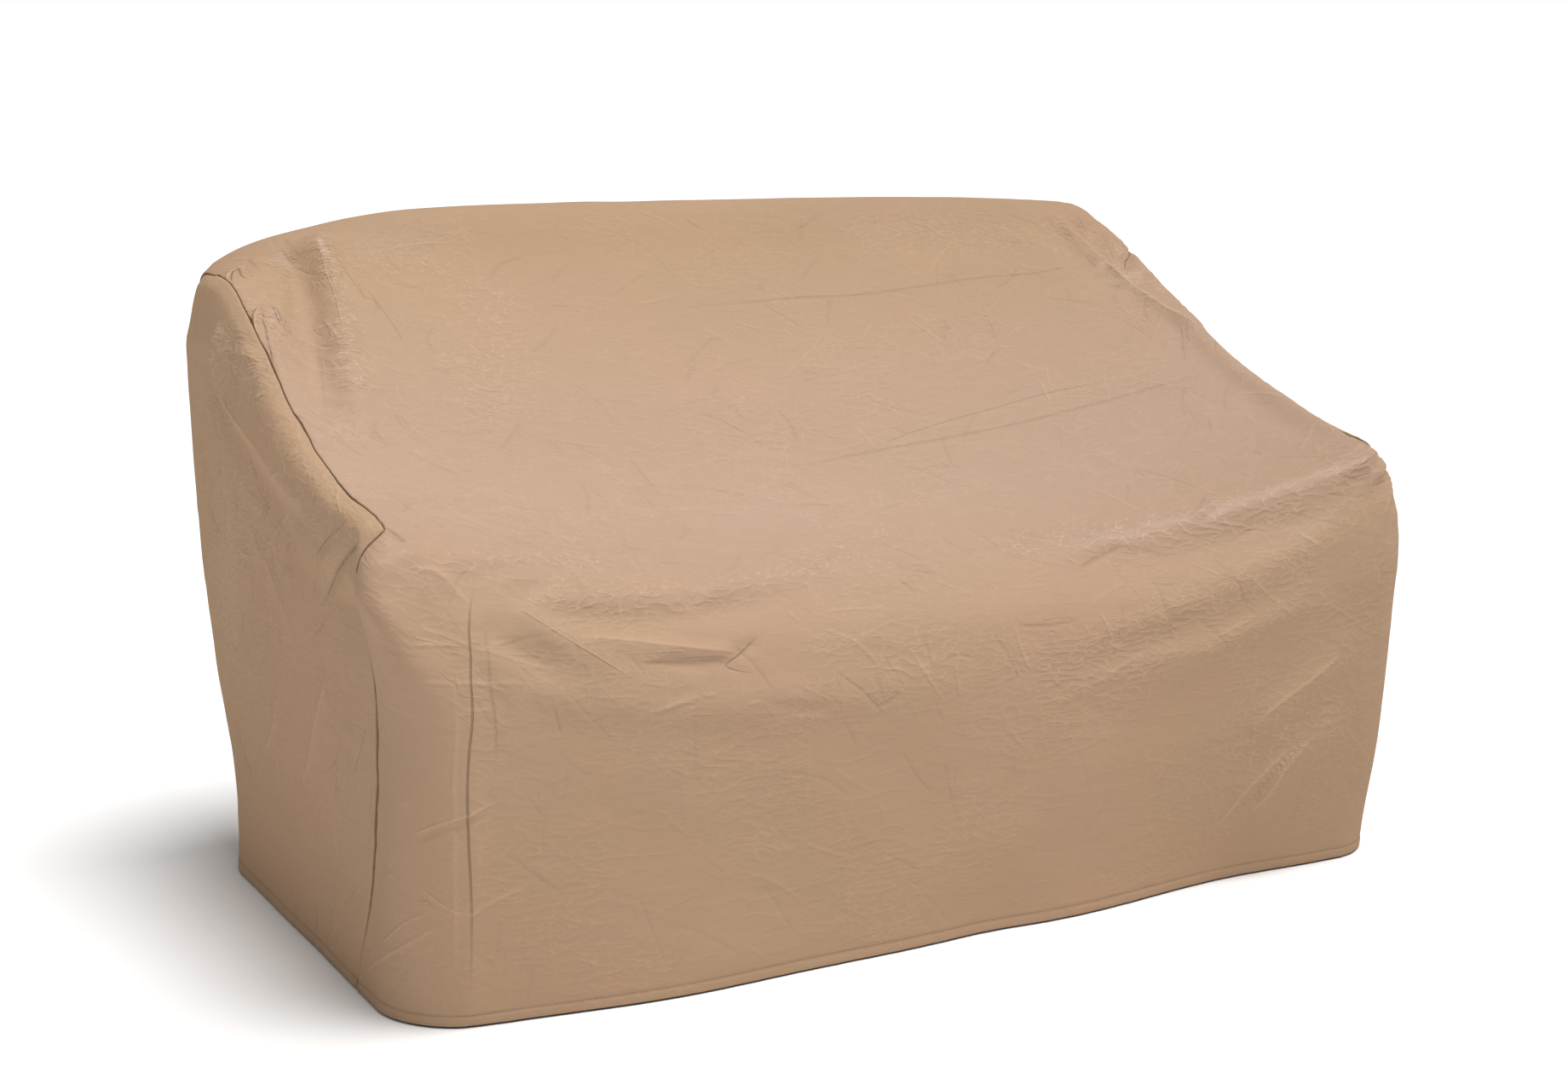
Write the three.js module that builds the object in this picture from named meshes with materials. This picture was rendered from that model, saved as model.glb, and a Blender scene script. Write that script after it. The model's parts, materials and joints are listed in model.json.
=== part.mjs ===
// A fitted outdoor cover of coated vinyl sheet, hollow, in the shape in which it hangs.
// Millimetres. X runs across, the front faces -Y and +Z is up.
// The origin is at the middle of the cover in plan, at the height of its hem.
import * as THREE from "three";

const SHEET = 2; // thickness of the sheet
const SEAM_GAP = 0.5; // clear space between two panels along a seam
const HALF_FLAT = 690; // half the flat width of the main panel, the unit of its across coordinate
const COLUMNS = 36; // steps across the main panel
const CROWDING = 0.35; // how much closer together the columns stand at the side edges
const RISE_STEPS = 14; // steps up the rear seam, and up the front seam
const SLOPE_STEPS = 20; // steps down the seam that follows the slope
const FOLD_STEPS = 8; // straight steps in the line of a fold
const LEAST_SLANT = 0.5; // limit on how far a mitre may reach at a sharp seam
const CENTRE_STEPS = 1700; // steps in which the girth of the middle line is measured

// Turns the rows of a table into objects with the named columns.
function table(columns, rows) {
  return rows.map((row) => Object.fromEntries(columns.map((name, i) => [name, row[i]])));
}

// Cross-sections of the main panel, from the rear hem over the top to the front hem.
// mid and end are Y at the middle and at the side edges, z is the height at the middle, and
// riseLeft and riseRight say how much higher the edges stand, later along X with a higher power.
// left and right are half widths, corner is the radius of the wrap round a front corner, and run is
// how far the panel goes on past it.
const SECTIONS = table(
  ["name", "mid", "end", "z", "riseLeft", "riseRight", "left", "right", "power", "corner", "run"],
  [
    ["rear hem", 378, 373, 0, 0, 0, 515, 515, 2, 0, 0],
    ["rear low", 390, 386, 200, 0, 0, 555, 555, 2, 0, 0],
    ["rear middle", 410, 407, 420, 0, 0, 630, 630, 2, 0, 0],
    ["rear upper", 426, 423, 640, -15, 0, 664, 664, 4, 0, 0],
    ["rear top", 428, 414, 800, -68, -16, 678, 680, 5, 0, 0],
    ["top back", 408, 388, 858, -82, -13, 684, 684, 5, 0, 0],
    ["top front", 350, 330, 863, -80, -12, 685, 685, 5, 0, 0],
    ["slope top", 270, 262, 795, -12, 28, 685, 685, 2.4, 0, 0],
    ["slope upper", 180, 178, 722, 30, 61, 685, 685, 1.7, 0, 0],
    ["slope middle", 55, 60, 628, 58, 80, 685, 685, 1.6, 0, 0],
    ["slope low", -70, -65, 536, 84, 106, 686, 686, 1.6, 0, 0],
    ["seat", -200, -200, 482, 94, 109, 688, 688, 2, 0, 0],
    ["seat edge", -315, -338, 446, 105, 108, 690, 690, 2.8, 0, 0],
    ["arm shoulder", -352, -372, 422, 105, 115, 714, 703, 3, 22, 15],
    ["front roll", -385, -396, 392, 104, 116, 724, 711, 3.2, 34, 27],
    ["front shoulder", -404, -414, 350, 100, 105, 714, 714, 3.2, 48, 30],
    ["front upper", -415, -418, 290, 80, 80, 703, 713, 3, 60, 24],
    ["front middle", -422, -414, 150, 20, 20, 700, 710, 2, 75, 39],
    ["front hem", -426, -394, 0, 0, 0, 702, 711, 2, 90, 72],
  ],
);

// Main folds of the main panel. Each point is [across, girth]: across is measured from the middle
// line, girth along it from the rear hem. leftSide and rightSide are the widths of the fold on the
// left and the right of its line, going along it on the outer face. height is positive for a ridge,
// and fadeIn and fadeOut are the shares of its length over which its ends die away.
const FOLDS = table(
  ["name", "from", "middle", "to", "leftSide", "rightSide", "height", "fadeIn", "fadeOut"],
  [
    ["left back valley", [-585, 940], [-616, 1204], [-662, 1445], 42, 34, -20, 0.25, 0.5],
    ["left back ridge", [-545, 930], [-562, 1087], [-619, 1457], 26, 34, 6, 0.2, 0.5],
    ["right back valley", [606, 930], [606, 1150], [655, 1380], 34, 40, -13, 0.3, 0.5],
    ["right back ridge", [560, 930], [566, 1150], [610, 1400], 34, 28, 5, 0.3, 0.5],
    ["arm corner ridge", [-680, 1712], [-579, 1783], [-461, 1880], 30, 24, 10, 0.4, 0.6],
    ["arm corner valley", [-560, 1764], [-497, 1819], [-440, 1862], 22, 22, -8, 0.4, 0.5],
    ["second ridge", [-556, 1760], [-483, 1801], [-340, 1850], 26, 26, 7, 0.4, 0.5],
    ["left seat edge", [-525, 1760], [-315, 1742], [-57, 1652], 40, 30, 6, 0.3, 0.5],
    ["right seat edge", [120, 1694], [419, 1719], [685, 1742], 34, 34, 8, 0.4, 0],
    ["right hollow", [140, 1775], [380, 1770], [600, 1772], 30, 30, -9, 0.4, 0.3],
    ["right middle ridge", [84, 1864], [333, 1827], [625, 1796], 32, 30, 11, 0.4, 0.2],
    ["right lower hollow", [130, 1890], [380, 1858], [560, 1826], 26, 26, -7, 0.4, 0.4],
    ["right lower ridge", [121, 1916], [340, 1895], [530, 1846], 28, 30, 8, 0.4, 0.4],
    ["right low ridge", [377, 2034], [461, 1982], [570, 1930], 26, 26, 6, 0.4, 0.4],
    ["right lowest ridge", [370, 2130], [441, 2074], [540, 2005], 28, 28, 7, 0.4, 0.4],
    ["left hem bulge", [-330, 2198], [-330, 2130], [-320, 2020], 130, 130, 15, 0, 0.9],
    ["middle hem hollow", [30, 2198], [30, 2150], [30, 2080], 70, 70, -9, 0, 0.9],
    ["right hem hollow", [345, 2198], [340, 2120], [325, 2000], 150, 130, -20, 0, 0.9],
  ],
);

// How far out a side panel hangs, by share of its height.
const SIDE_REACH = table(
  ["share", "reach", "rearWidth"],
  [
    [0, 702, 240],
    [0.15, 702, 240],
    [0.3, 703, 230],
    [0.45, 706, 190],
    [0.6, 709, 125],
    [0.8, 712, 85],
    [1, 714, 70],
  ],
);
const REAR_CORNER = 135; // radius of the hem round a rear corner
const SIDE_DEPTH = 780; // length of a side panel from rear to front
const FRONT_WIDTH = 35; // width over which a side panel rounds into its front seam
const FRONT_SHORTENING = 0.8; // a side panel is shorter at its top than at its hem
const FACET_FRONT = 60; // height of the tilted facet under the slope seam, at the front
const FACET_REAR = 85; // and at the rear
const PUFF_HEIGHT = 13; // how high a side panel puffs up beside the slope seam
const PUFF_DEPTH = 60; // how far below the seam the puff ends
const PUFF_WIDTH = 150; // how far from the rear seam the puff is full
const FULL_SHARE = 0.46; // share of its height at which a side panel is pushed out in full
const REAR_SLACK = 13; // how much less a side panel reaches out near its rear corner
const REAR_SLACK_SHARE = 0.35; // share of its depth over which that dies away

const { clamp, lerp, smoothstep } = THREE.MathUtils;
const sectionIndex = (name) => SECTIONS.findIndex((section) => section.name === name);
const LAST = SECTIONS.length - 1;
const SLOPE_SEAM_START = sectionIndex("rear top") + 0.5;
const ARM_CORNER = sectionIndex("seat edge");

// The quarter of a circle: steep at the start, flat at the end.
const roundIn = (share) => Math.sqrt(1 - (1 - clamp(share, 0, 1)) ** 2);

// One point of a cross-section, at u from -1 at the left edge to 1 at the right edge.
function sectionPoint(section, u) {
  const out = Math.abs(u);
  const half = u < 0 ? section.left : section.right;
  const rise = u < 0 ? section.riseLeft : section.riseRight;
  const quarter = (section.corner * Math.PI) / 2;
  const flat = half - section.corner;
  const along = out * (flat + quarter + section.run);
  const turn = section.corner ? clamp((along - flat) / section.corner, 0, Math.PI / 2) : 0;
  const x = Math.min(along, flat) + section.corner * Math.sin(turn);
  const back = section.corner * (1 - Math.cos(turn)) + Math.max(along - flat - quarter, 0);
  const y = lerp(section.mid, section.end, Math.min(x / half, 1) ** 2) + back;
  return new THREE.Vector3(Math.sign(u) * x, y, section.z + rise * out ** section.power);
}

// A smooth line along the girth through every section.
function girthCurve(u) {
  const points = SECTIONS.map((section) => sectionPoint(section, u));
  return new THREE.CatmullRomCurve3(points, false, "centripetal");
}

const CENTRE_LENGTHS = girthCurve(0).getLengths(CENTRE_STEPS);
const girthAt = (row) => CENTRE_LENGTHS[Math.round((row / LAST) * CENTRE_STEPS)];

// The line of a fold, as short straight steps.
function foldLine(fold) {
  const points = [fold.from, fold.middle, fold.to].map(([x, y]) => new THREE.Vector2(x, y));
  return new THREE.SplineCurve(points).getPoints(FOLD_STEPS);
}

// How far one fold lifts the sheet at a flat point.
function foldLift(fold, point) {
  let nearest = Infinity;
  let along = 0;
  let side = 0;
  const line = fold.line;
  for (let i = 0; i < line.length - 1; i += 1) {
    const step = line[i + 1].clone().sub(line[i]);
    const offset = point.clone().sub(line[i]);
    const share = clamp(offset.dot(step) / step.lengthSq(), 0, 1);
    const distance = offset.distanceTo(step.clone().multiplyScalar(share));
    if (distance < nearest) {
      nearest = distance;
      along = (i + share) / (line.length - 1);
      side = step.cross(offset);
    }
  }
  const width = side < 0 ? fold.leftSide : fold.rightSide;
  const start = fold.fadeIn ? smoothstep(along, 0, fold.fadeIn) : 1;
  const end = smoothstep(1 - along, 0, fold.fadeOut);
  return fold.height * Math.exp(-((nearest / width) ** 2)) * start * end;
}

// Places of the grid rows, counted in sections.
function rowPlaces() {
  const places = [0];
  const stretches = [
    [0, SLOPE_SEAM_START, RISE_STEPS],
    [SLOPE_SEAM_START, ARM_CORNER, SLOPE_STEPS],
    [ARM_CORNER, LAST, RISE_STEPS],
  ];
  for (const [from, to, steps] of stretches) {
    for (let i = 1; i <= steps; i += 1) {
      places.push(lerp(from, to, i / steps));
    }
  }
  return places;
}

// Places of the grid columns, from -1 to 1, closer together at the ends.
function columnPlaces() {
  const places = [];
  for (let i = 0; i <= COLUMNS; i += 1) {
    const even = (2 * i) / COLUMNS - 1;
    places.push(even + (CROWDING * Math.sin(Math.PI * even)) / Math.PI);
  }
  return places;
}

// Normals of a grid of points, turned outwards by sign.
function gridNormals(grid, sign) {
  const rows = grid.length;
  const columns = grid[0].length;
  return grid.map((line, j) =>
    line.map((_, i) => {
      const up = grid[Math.min(j + 1, rows - 1)][i].clone().sub(grid[Math.max(j - 1, 0)][i]);
      const over = line[Math.min(i + 1, columns - 1)].clone().sub(line[Math.max(i - 1, 0)]);
      return up.cross(over).multiplyScalar(sign).normalize();
    }),
  );
}

// The outer face of the main panel, with its folds.
function mainGrid() {
  const columns = columnPlaces();
  const rows = rowPlaces();
  const curves = columns.map(girthCurve);
  const smooth = rows.map((row) => curves.map((curve) => curve.getPoint(row / LAST)));
  const normals = gridNormals(smooth, 1);
  const folds = FOLDS.map((fold) => ({ ...fold, line: foldLine(fold) }));
  return smooth.map((line, j) =>
    line.map((point, i) => {
      const flat = new THREE.Vector2(columns[i] * HALF_FLAT, girthAt(rows[j]));
      const lift = folds.reduce((sum, fold) => sum + foldLift(fold, flat), 0);
      return point.clone().addScaledVector(normals[j][i], lift);
    }),
  );
}

// The hem of a side panel in plan, from the foot of its rear seam to the foot of its front seam.
function hemLine(rearFoot, frontFoot, side) {
  const turnX = SIDE_REACH[0].reach - REAR_CORNER;
  const turnY = rearFoot.y - REAR_CORNER;
  const path = new THREE.Path();
  path.moveTo(Math.abs(rearFoot.x), rearFoot.y);
  path.absarc(turnX, turnY, REAR_CORNER, Math.PI / 2, 0, true);
  path.lineTo(Math.abs(frontFoot.x), frontFoot.y);
  return path
    .getSpacedPoints(SLOPE_STEPS)
    .map((point) => new THREE.Vector3(side * point.x, point.y, 0));
}

// A column of SIDE_REACH at a share of the height.
function reachAt(share, column) {
  const next = Math.max(1, SIDE_REACH.findIndex((row) => row.share >= share));
  const [low, high] = [SIDE_REACH[next - 1], SIDE_REACH[next]];
  return lerp(low[column], high[column], (share - low.share) / (high.share - low.share));
}

// A point of the surface stretched between four border lines.
function stretched(borders, i, j, a, b) {
  const { rear, front, bottom, top } = borders;
  const point = new THREE.Vector3();
  point.addScaledVector(bottom[i], 1 - b).addScaledVector(top[i], b);
  point.addScaledVector(rear[j], 1 - a).addScaledVector(front[j], a);
  point.addScaledVector(rear[0], -(1 - a) * (1 - b)).addScaledVector(front[0], -a * (1 - b));
  point.addScaledVector(rear.at(-1), -(1 - a) * b).addScaledVector(front.at(-1), -a * b);
  return point;
}

// The outer face of a side panel, side -1 at the left and 1 at the right, sewn to the main panel.
function sideGrid(main, side) {
  const edge = side < 0 ? 0 : COLUMNS;
  const rim = main.map((line) => line[edge]);
  const borders = {
    rear: rim.slice(0, RISE_STEPS + 1),
    top: rim.slice(RISE_STEPS, RISE_STEPS + SLOPE_STEPS + 1),
    front: rim.slice(RISE_STEPS + SLOPE_STEPS).reverse(),
  };
  borders.bottom = hemLine(borders.rear[0], borders.front[0], side);
  const { rear, front } = borders;
  return rear.map((_, j) => {
    const b = (rear[j].z / rear[RISE_STEPS].z + front[j].z / front[RISE_STEPS].z) / 2;
    return borders.bottom.map((_, i) => {
      const a = i / SLOPE_STEPS;
      const point = stretched(borders, i, j, a, b);
      const fromRear = a * SIDE_DEPTH;
      const fromFront = (1 - a) * SIDE_DEPTH * FRONT_SHORTENING;
      const below = borders.top[i].z - point.z;
      const facet = clamp(below / lerp(FACET_REAR, FACET_FRONT, a), 0, 1);
      const rounding = roundIn(fromRear / reachAt(b, "rearWidth")) * roundIn(fromFront / FRONT_WIDTH);
      const slack = REAR_SLACK * b * (1 - smoothstep(a, 0, REAR_SLACK_SHARE));
      const short = Math.max(reachAt(b, "reach") - slack - Math.abs(point.x), 0);
      const push = Math.sin((Math.PI / 2) * clamp(b / FULL_SHARE, 0, 1));
      point.x += side * short * rounding * facet * push;
      const puff = Math.sin(Math.PI * clamp(below / PUFF_DEPTH, 0, 1)) * roundIn(fromFront / FRONT_WIDTH);
      point.z += PUFF_HEIGHT * puff * smoothstep(fromRear, 0, PUFF_WIDTH);
      return point;
    });
  });
}

// The places along the sewn edge of a side panel: each has the row of the main panel, the row and
// column of the side panel, and the side panel's next point inwards.
function seamPlaces() {
  const places = [];
  const last = 2 * RISE_STEPS + SLOPE_STEPS;
  for (let row = 0; row <= last; row += 1) {
    const j = Math.min(row, last - row, RISE_STEPS);
    const i = clamp(row - RISE_STEPS, 0, SLOPE_STEPS);
    const onSlope = row >= RISE_STEPS && row <= last - RISE_STEPS;
    const inner = [onSlope ? j - 1 : j, clamp(i, 1, SLOPE_STEPS - 1)];
    places.push({ row, j, i, inner });
  }
  return places;
}

// Gives the two panels one mitred edge along their seam, and draws the side panel back by the gap.
function mitreSeam(main, panel, edge) {
  for (const { row, j, i, inner } of seamPlaces()) {
    const own = panel.inward[j][i];
    const other = main.inward[row][edge];
    const middle = own.clone().add(other).normalize();
    const slant = Math.max(middle.dot(own) / SHEET, LEAST_SLANT);
    const mitre = middle.multiplyScalar(SHEET / slant);
    panel.inward[j][i] = mitre;
    main.inward[row][edge] = mitre.clone();
    const back = panel.grid[inner[0]][inner[1]].clone().sub(panel.grid[j][i]);
    panel.grid[j][i].addScaledVector(back.normalize(), SEAM_GAP / slant);
  }
}

// A panel: its outer face, the way through the sheet at each point, and which way it is wound.
function panelOf(grid, sign) {
  const normals = gridNormals(grid, sign);
  const inward = normals.map((line) => line.map((normal) => normal.multiplyScalar(-SHEET)));
  return { grid, inward, sign };
}

// The closed sheet of a panel, as a mesh: outer face, inner face and the edge all round.
function sheetMesh(name, panel) {
  const { grid, inward, sign } = panel;
  const rows = grid.length - 1;
  const columns = grid[0].length - 1;
  const outer = grid.flat();
  const inner = grid.flatMap((line, j) => line.map((point, i) => point.clone().add(inward[j][i])));
  const at = (j, i) => j * (columns + 1) + i;
  const faces = [];
  for (let j = 0; j < rows; j += 1) {
    for (let i = 0; i < columns; i += 1) {
      const quad = [at(j, i), at(j + 1, i), at(j + 1, i + 1), at(j, i + 1)];
      faces.push([quad[0], quad[1], quad[2]], [quad[0], quad[2], quad[3]]);
    }
  }
  const loop = [];
  for (let j = 0; j < rows; j += 1) {
    loop.push(at(j, 0));
  }
  for (let i = 0; i < columns; i += 1) {
    loop.push(at(rows, i));
  }
  for (let j = rows; j > 0; j -= 1) {
    loop.push(at(j, columns));
  }
  for (let i = columns; i > 0; i -= 1) {
    loop.push(at(0, i));
  }
  const under = outer.length;
  const inside = faces.map(([a, b, c]) => [c + under, b + under, a + under]);
  const rim = loop.flatMap((p, k) => {
    const q = loop[(k + 1) % loop.length];
    return [[q, p, p + under], [q, p + under, q + under]];
  });
  const all = [...faces, ...inside, ...rim];
  const wound = sign > 0 ? all : all.map(([a, b, c]) => [c, b, a]);
  const geometry = new THREE.BufferGeometry().setFromPoints([...outer, ...inner]);
  geometry.setIndex(wound.flat());
  geometry.computeVertexNormals();
  const mesh = new THREE.Mesh(geometry, vinyl(name));
  mesh.name = name;
  return mesh;
}

// Tan coated vinyl with a soft gloss.
function vinyl(name) {
  return new THREE.MeshStandardMaterial({ name, color: 0xbd9c80, roughness: 0.42, metalness: 0 });
}

function makeCover() {
  const main = panelOf(mainGrid(), 1);
  const left = panelOf(sideGrid(main.grid, -1), -1);
  const right = panelOf(sideGrid(main.grid, 1), 1);
  mitreSeam(main, left, 0);
  mitreSeam(main, right, COLUMNS);
  const cover = new THREE.Group();
  cover.add(sheetMesh("main_panel", main));
  cover.add(sheetMesh("left_side_panel", left));
  cover.add(sheetMesh("right_side_panel", right));
  return cover;
}

// Stands the hem on Z = 0 and centres the cover in plan.
function centre(cover) {
  const box = new THREE.Box3().setFromObject(cover);
  const middle = box.getCenter(new THREE.Vector3());
  cover.position.set(-middle.x, -middle.y, -box.min.z);
  return cover;
}

export default centre(makeCover());
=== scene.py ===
# %% [markdown]
# # A fitted cover of coated vinyl
# The object is a hollow outdoor cover: one long panel that runs from the rear hem over the top and
# down to the front hem, and a panel sewn on at each side. It is thin sheet, so all of its shape is
# in how it hangs. We build its skin as three grids that share their seams, fold it, add
# the small unevenness of a packed and unpacked cover, and only then cut it into its three pieces.

import json
import math
from types import SimpleNamespace

import bpy
import numpy as np
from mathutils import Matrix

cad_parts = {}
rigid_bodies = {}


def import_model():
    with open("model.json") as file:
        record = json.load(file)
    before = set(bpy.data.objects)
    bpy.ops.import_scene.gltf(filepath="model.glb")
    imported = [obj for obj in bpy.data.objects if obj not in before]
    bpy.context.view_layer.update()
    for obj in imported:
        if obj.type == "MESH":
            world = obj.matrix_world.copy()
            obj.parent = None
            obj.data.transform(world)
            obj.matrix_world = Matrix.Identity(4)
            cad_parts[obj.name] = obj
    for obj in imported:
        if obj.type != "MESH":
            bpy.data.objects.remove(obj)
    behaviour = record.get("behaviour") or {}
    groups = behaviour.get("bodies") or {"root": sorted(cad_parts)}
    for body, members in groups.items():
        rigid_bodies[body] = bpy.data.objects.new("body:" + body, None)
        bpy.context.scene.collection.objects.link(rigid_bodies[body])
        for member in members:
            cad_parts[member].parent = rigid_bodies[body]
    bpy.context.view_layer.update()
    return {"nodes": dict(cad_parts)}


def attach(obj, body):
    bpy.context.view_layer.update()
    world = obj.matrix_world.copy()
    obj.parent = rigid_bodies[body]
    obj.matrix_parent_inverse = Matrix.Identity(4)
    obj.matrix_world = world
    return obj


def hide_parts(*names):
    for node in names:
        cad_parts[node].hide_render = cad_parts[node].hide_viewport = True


MM = 0.001  # tables are in millimetres, Blender is in metres


def placed(name, data):
    """A new object of the scene with this camera, light, mesh or curve."""
    made = bpy.data.objects.new(name, data)
    bpy.context.collection.objects.link(made)
    return made


def set_inputs(node, values):
    """Gives some inputs of a shader node their fixed values."""
    for name, value in values.items():
        node.inputs[name].default_value = value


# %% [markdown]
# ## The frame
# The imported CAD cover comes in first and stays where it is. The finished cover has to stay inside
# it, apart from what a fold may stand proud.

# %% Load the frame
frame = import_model()
print("CAD nodes:", sorted(frame["nodes"]))

# %% [markdown]
# ## The camera
# It looks from the left of the front and a little from above, as a person who stands some three
# metres away. The lens was worked out once from the seams, whose true places the CAD gives.

# %% Camera
PLACE = (-1.487, -2.705, 0.982)
TURN = (79.689, 0, -28.605)
LENS, SENSOR = 53.63, 36
camera_data = bpy.data.cameras.new("camera")
camera_data.sensor_width = SENSOR
camera_data.lens = LENS
camera = placed("camera", camera_data)
camera.location = PLACE
camera.rotation_euler = [math.radians(angle) for angle in TURN]
bpy.context.scene.camera = camera
print("camera at", PLACE)

# %% [markdown]
# ## Light and floor
# A plain studio: white all round, a white floor and one broad soft light high up and a little to
# the front right. The sheet is satin, so the soft light draws its folds as pale streaks. The
# picture is shown without a film look, so that a tan stays the tan that was chosen.

# %% Light
SKY_LIGHT = 0.31  # light from all round, which the camera sees as plain white
SUN_POWER, SUN_SPREAD, SUN_LEAN = 3.2, 32, 11  # the spread and the lean are in degrees
scene = bpy.context.scene
scene.view_settings.view_transform = "Standard"
world = bpy.data.worlds.new("white studio")
world.use_nodes = True
sky = world.node_tree.nodes["Background"]
set_inputs(sky, {"Color": (1, 1, 1, 1)})
seen = world.node_tree.nodes.new("ShaderNodeLightPath")
brightness = world.node_tree.nodes.new("ShaderNodeMapRange")
set_inputs(brightness, {"To Min": SKY_LIGHT, "To Max": 1})
world.node_tree.links.new(seen.outputs["Is Camera Ray"], brightness.inputs["Value"])
world.node_tree.links.new(brightness.outputs["Result"], sky.inputs["Strength"])
scene.world = world

top_light = bpy.data.lights.new("soft light", "SUN")
top_light.energy = SUN_POWER
top_light.angle = math.radians(SUN_SPREAD)
light = placed("soft light", top_light)
light.rotation_euler = (math.radians(SUN_LEAN), math.radians(SUN_LEAN), 0)
print("lights:", light.name)

# %% Floor
FLOOR_LEVEL = -0.002
FLOOR_RADIUS = 40
FLOOR_SIDES = 64
ring = [2 * math.pi * k / FLOOR_SIDES for k in range(FLOOR_SIDES)]
floor_points = [(FLOOR_RADIUS * math.cos(a), FLOOR_RADIUS * math.sin(a), FLOOR_LEVEL) for a in ring]
floor_mesh = bpy.data.meshes.new("floor")
floor_mesh.from_pydata(floor_points, [], [range(len(floor_points))])
floor = placed("floor", floor_mesh)
floor_finish = bpy.data.materials.new("pale floor")
floor_finish.use_nodes = True
floor_look = {"Base Color": (0.93, 0.93, 0.93, 1), "Roughness": 0.9, "Specular IOR Level": 0.1}
set_inputs(floor_finish.node_tree.nodes["Principled BSDF"], floor_look)
floor_mesh.materials.append(floor_finish)
print("floor at", FLOOR_LEVEL)

# %% [markdown]
# ## The cross-sections of the long panel
# The long panel is described by nineteen cross-sections, from the rear hem to the front hem. The
# table repeats the one that the CAD was made from, so both have the same shape. A cross-section
# bows forward or back towards its ends, rises at them, and in front it wraps round a corner.

# %% Sections
HALF_FLAT = 690  # half the flat width of the long panel
CENTRED = np.array([4.990, 0.640, 0.546])  # how far the CAD cover was moved to stand centred
SECTION_COLUMNS = (
    "mid", "end", "z", "rise_left", "rise_right", "left", "right", "power", "corner", "run",
)
SECTIONS = {
    "rear hem": (378, 373, 0, 0, 0, 515, 515, 2, 0, 0),
    "rear low": (390, 386, 200, 0, 0, 555, 555, 2, 0, 0),
    "rear middle": (410, 407, 420, 0, 0, 630, 630, 2, 0, 0),
    "rear upper": (426, 423, 640, -15, 0, 664, 664, 4, 0, 0),
    "rear top": (428, 414, 800, -68, -16, 678, 680, 5, 0, 0),
    "top back": (408, 388, 858, -82, -13, 684, 684, 5, 0, 0),
    "top front": (350, 330, 863, -80, -12, 685, 685, 5, 0, 0),
    "slope top": (270, 262, 795, -12, 28, 685, 685, 2.4, 0, 0),
    "slope upper": (180, 178, 722, 30, 61, 685, 685, 1.7, 0, 0),
    "slope middle": (55, 60, 628, 58, 80, 685, 685, 1.6, 0, 0),
    "slope low": (-70, -65, 536, 84, 106, 686, 686, 1.6, 0, 0),
    "seat": (-200, -200, 482, 94, 109, 688, 688, 2, 0, 0),
    "seat edge": (-315, -338, 446, 105, 108, 690, 690, 2.8, 0, 0),
    "arm shoulder": (-352, -372, 422, 105, 115, 714, 703, 3, 22, 15),
    "front roll": (-385, -396, 392, 104, 116, 724, 711, 3.2, 34, 27),
    "front shoulder": (-404, -414, 350, 100, 105, 714, 714, 3.2, 48, 30),
    "front upper": (-415, -418, 290, 80, 80, 703, 713, 3, 60, 24),
    "front middle": (-422, -414, 150, 20, 20, 700, 710, 2, 75, 39),
    "front hem": (-426, -394, 0, 0, 0, 702, 711, 2, 90, 72),
}
NAMES = list(SECTIONS)
LAST = len(NAMES) - 1
TOP_CORNER = NAMES.index("rear top") + 0.5  # where the rear seam meets the slope seam
ARM_CORNER = NAMES.index("seat edge")  # where the slope seam meets the front seam


def section_points(u):
    """The points at u, from -1 at the left edge to 1 at the right, of every cross-section."""
    rows = np.array(list(SECTIONS.values()), float)[:, :, None]
    s = SimpleNamespace(**{name: rows[:, k] for k, name in enumerate(SECTION_COLUMNS)})
    out = np.abs(u)[None, :]
    half = np.where(u < 0, s.left, s.right)
    rise = np.where(u < 0, s.rise_left, s.rise_right)
    quarter = s.corner * math.pi / 2
    flat = half - s.corner
    along = out * (flat + quarter + s.run)
    turn = np.clip((along - flat) / np.maximum(s.corner, 1e-6), 0, math.pi / 2)
    x = np.minimum(along, flat) + s.corner * np.sin(turn)
    back = s.corner * (1 - np.cos(turn)) + np.maximum(along - flat - quarter, 0)
    y = s.mid + (s.end - s.mid) * np.minimum(x / half, 1) ** 2 + back
    z = s.z + rise * out**s.power
    return np.stack([np.sign(u) * x, y, z], -1)


def smooth_skin(places, u):
    """The unfolded long panel, at places along its girth counted in sections, and at u across."""
    points = section_points(u)
    first = 2 * points[:1] - points[1:2]
    after = 2 * points[-1:] - points[-2:-1]
    points = np.concatenate([first, points, after])
    step = np.linalg.norm(np.diff(points, axis=0), axis=2, keepdims=True) ** 0.5
    before, here, behind = step[:-2], step[1:-1], step[2:]
    p0, p1, p2, p3 = points[:-3], points[1:-2], points[2:-1], points[3:]
    start = ((p1 - p0) / before - (p2 - p0) / (before + here) + (p2 - p1) / here) * here
    stop = ((p2 - p1) / here - (p3 - p1) / (here + behind) + (p3 - p2) / behind) * here
    k = np.clip(places.astype(int), 0, LAST - 1)
    t = (places - k)[:, None, None]
    bend = -3 * p1[k] + 3 * p2[k] - 2 * start[k] - stop[k]
    twist = 2 * p1[k] - 2 * p2[k] + start[k] + stop[k]
    return p1[k] + t * (start[k] + t * (bend + t * twist))


fine_places = np.linspace(0, LAST, 100 * LAST + 1)
centre_line = smooth_skin(fine_places, np.zeros(1))[:, 0]
fine_girths = np.r_[0, np.cumsum(np.linalg.norm(np.diff(centre_line, axis=0), axis=1))]


def girth_at(places):
    return np.interp(places, fine_places, fine_girths)


def place_at(girths):
    return np.interp(girths, fine_girths, fine_places)


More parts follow.
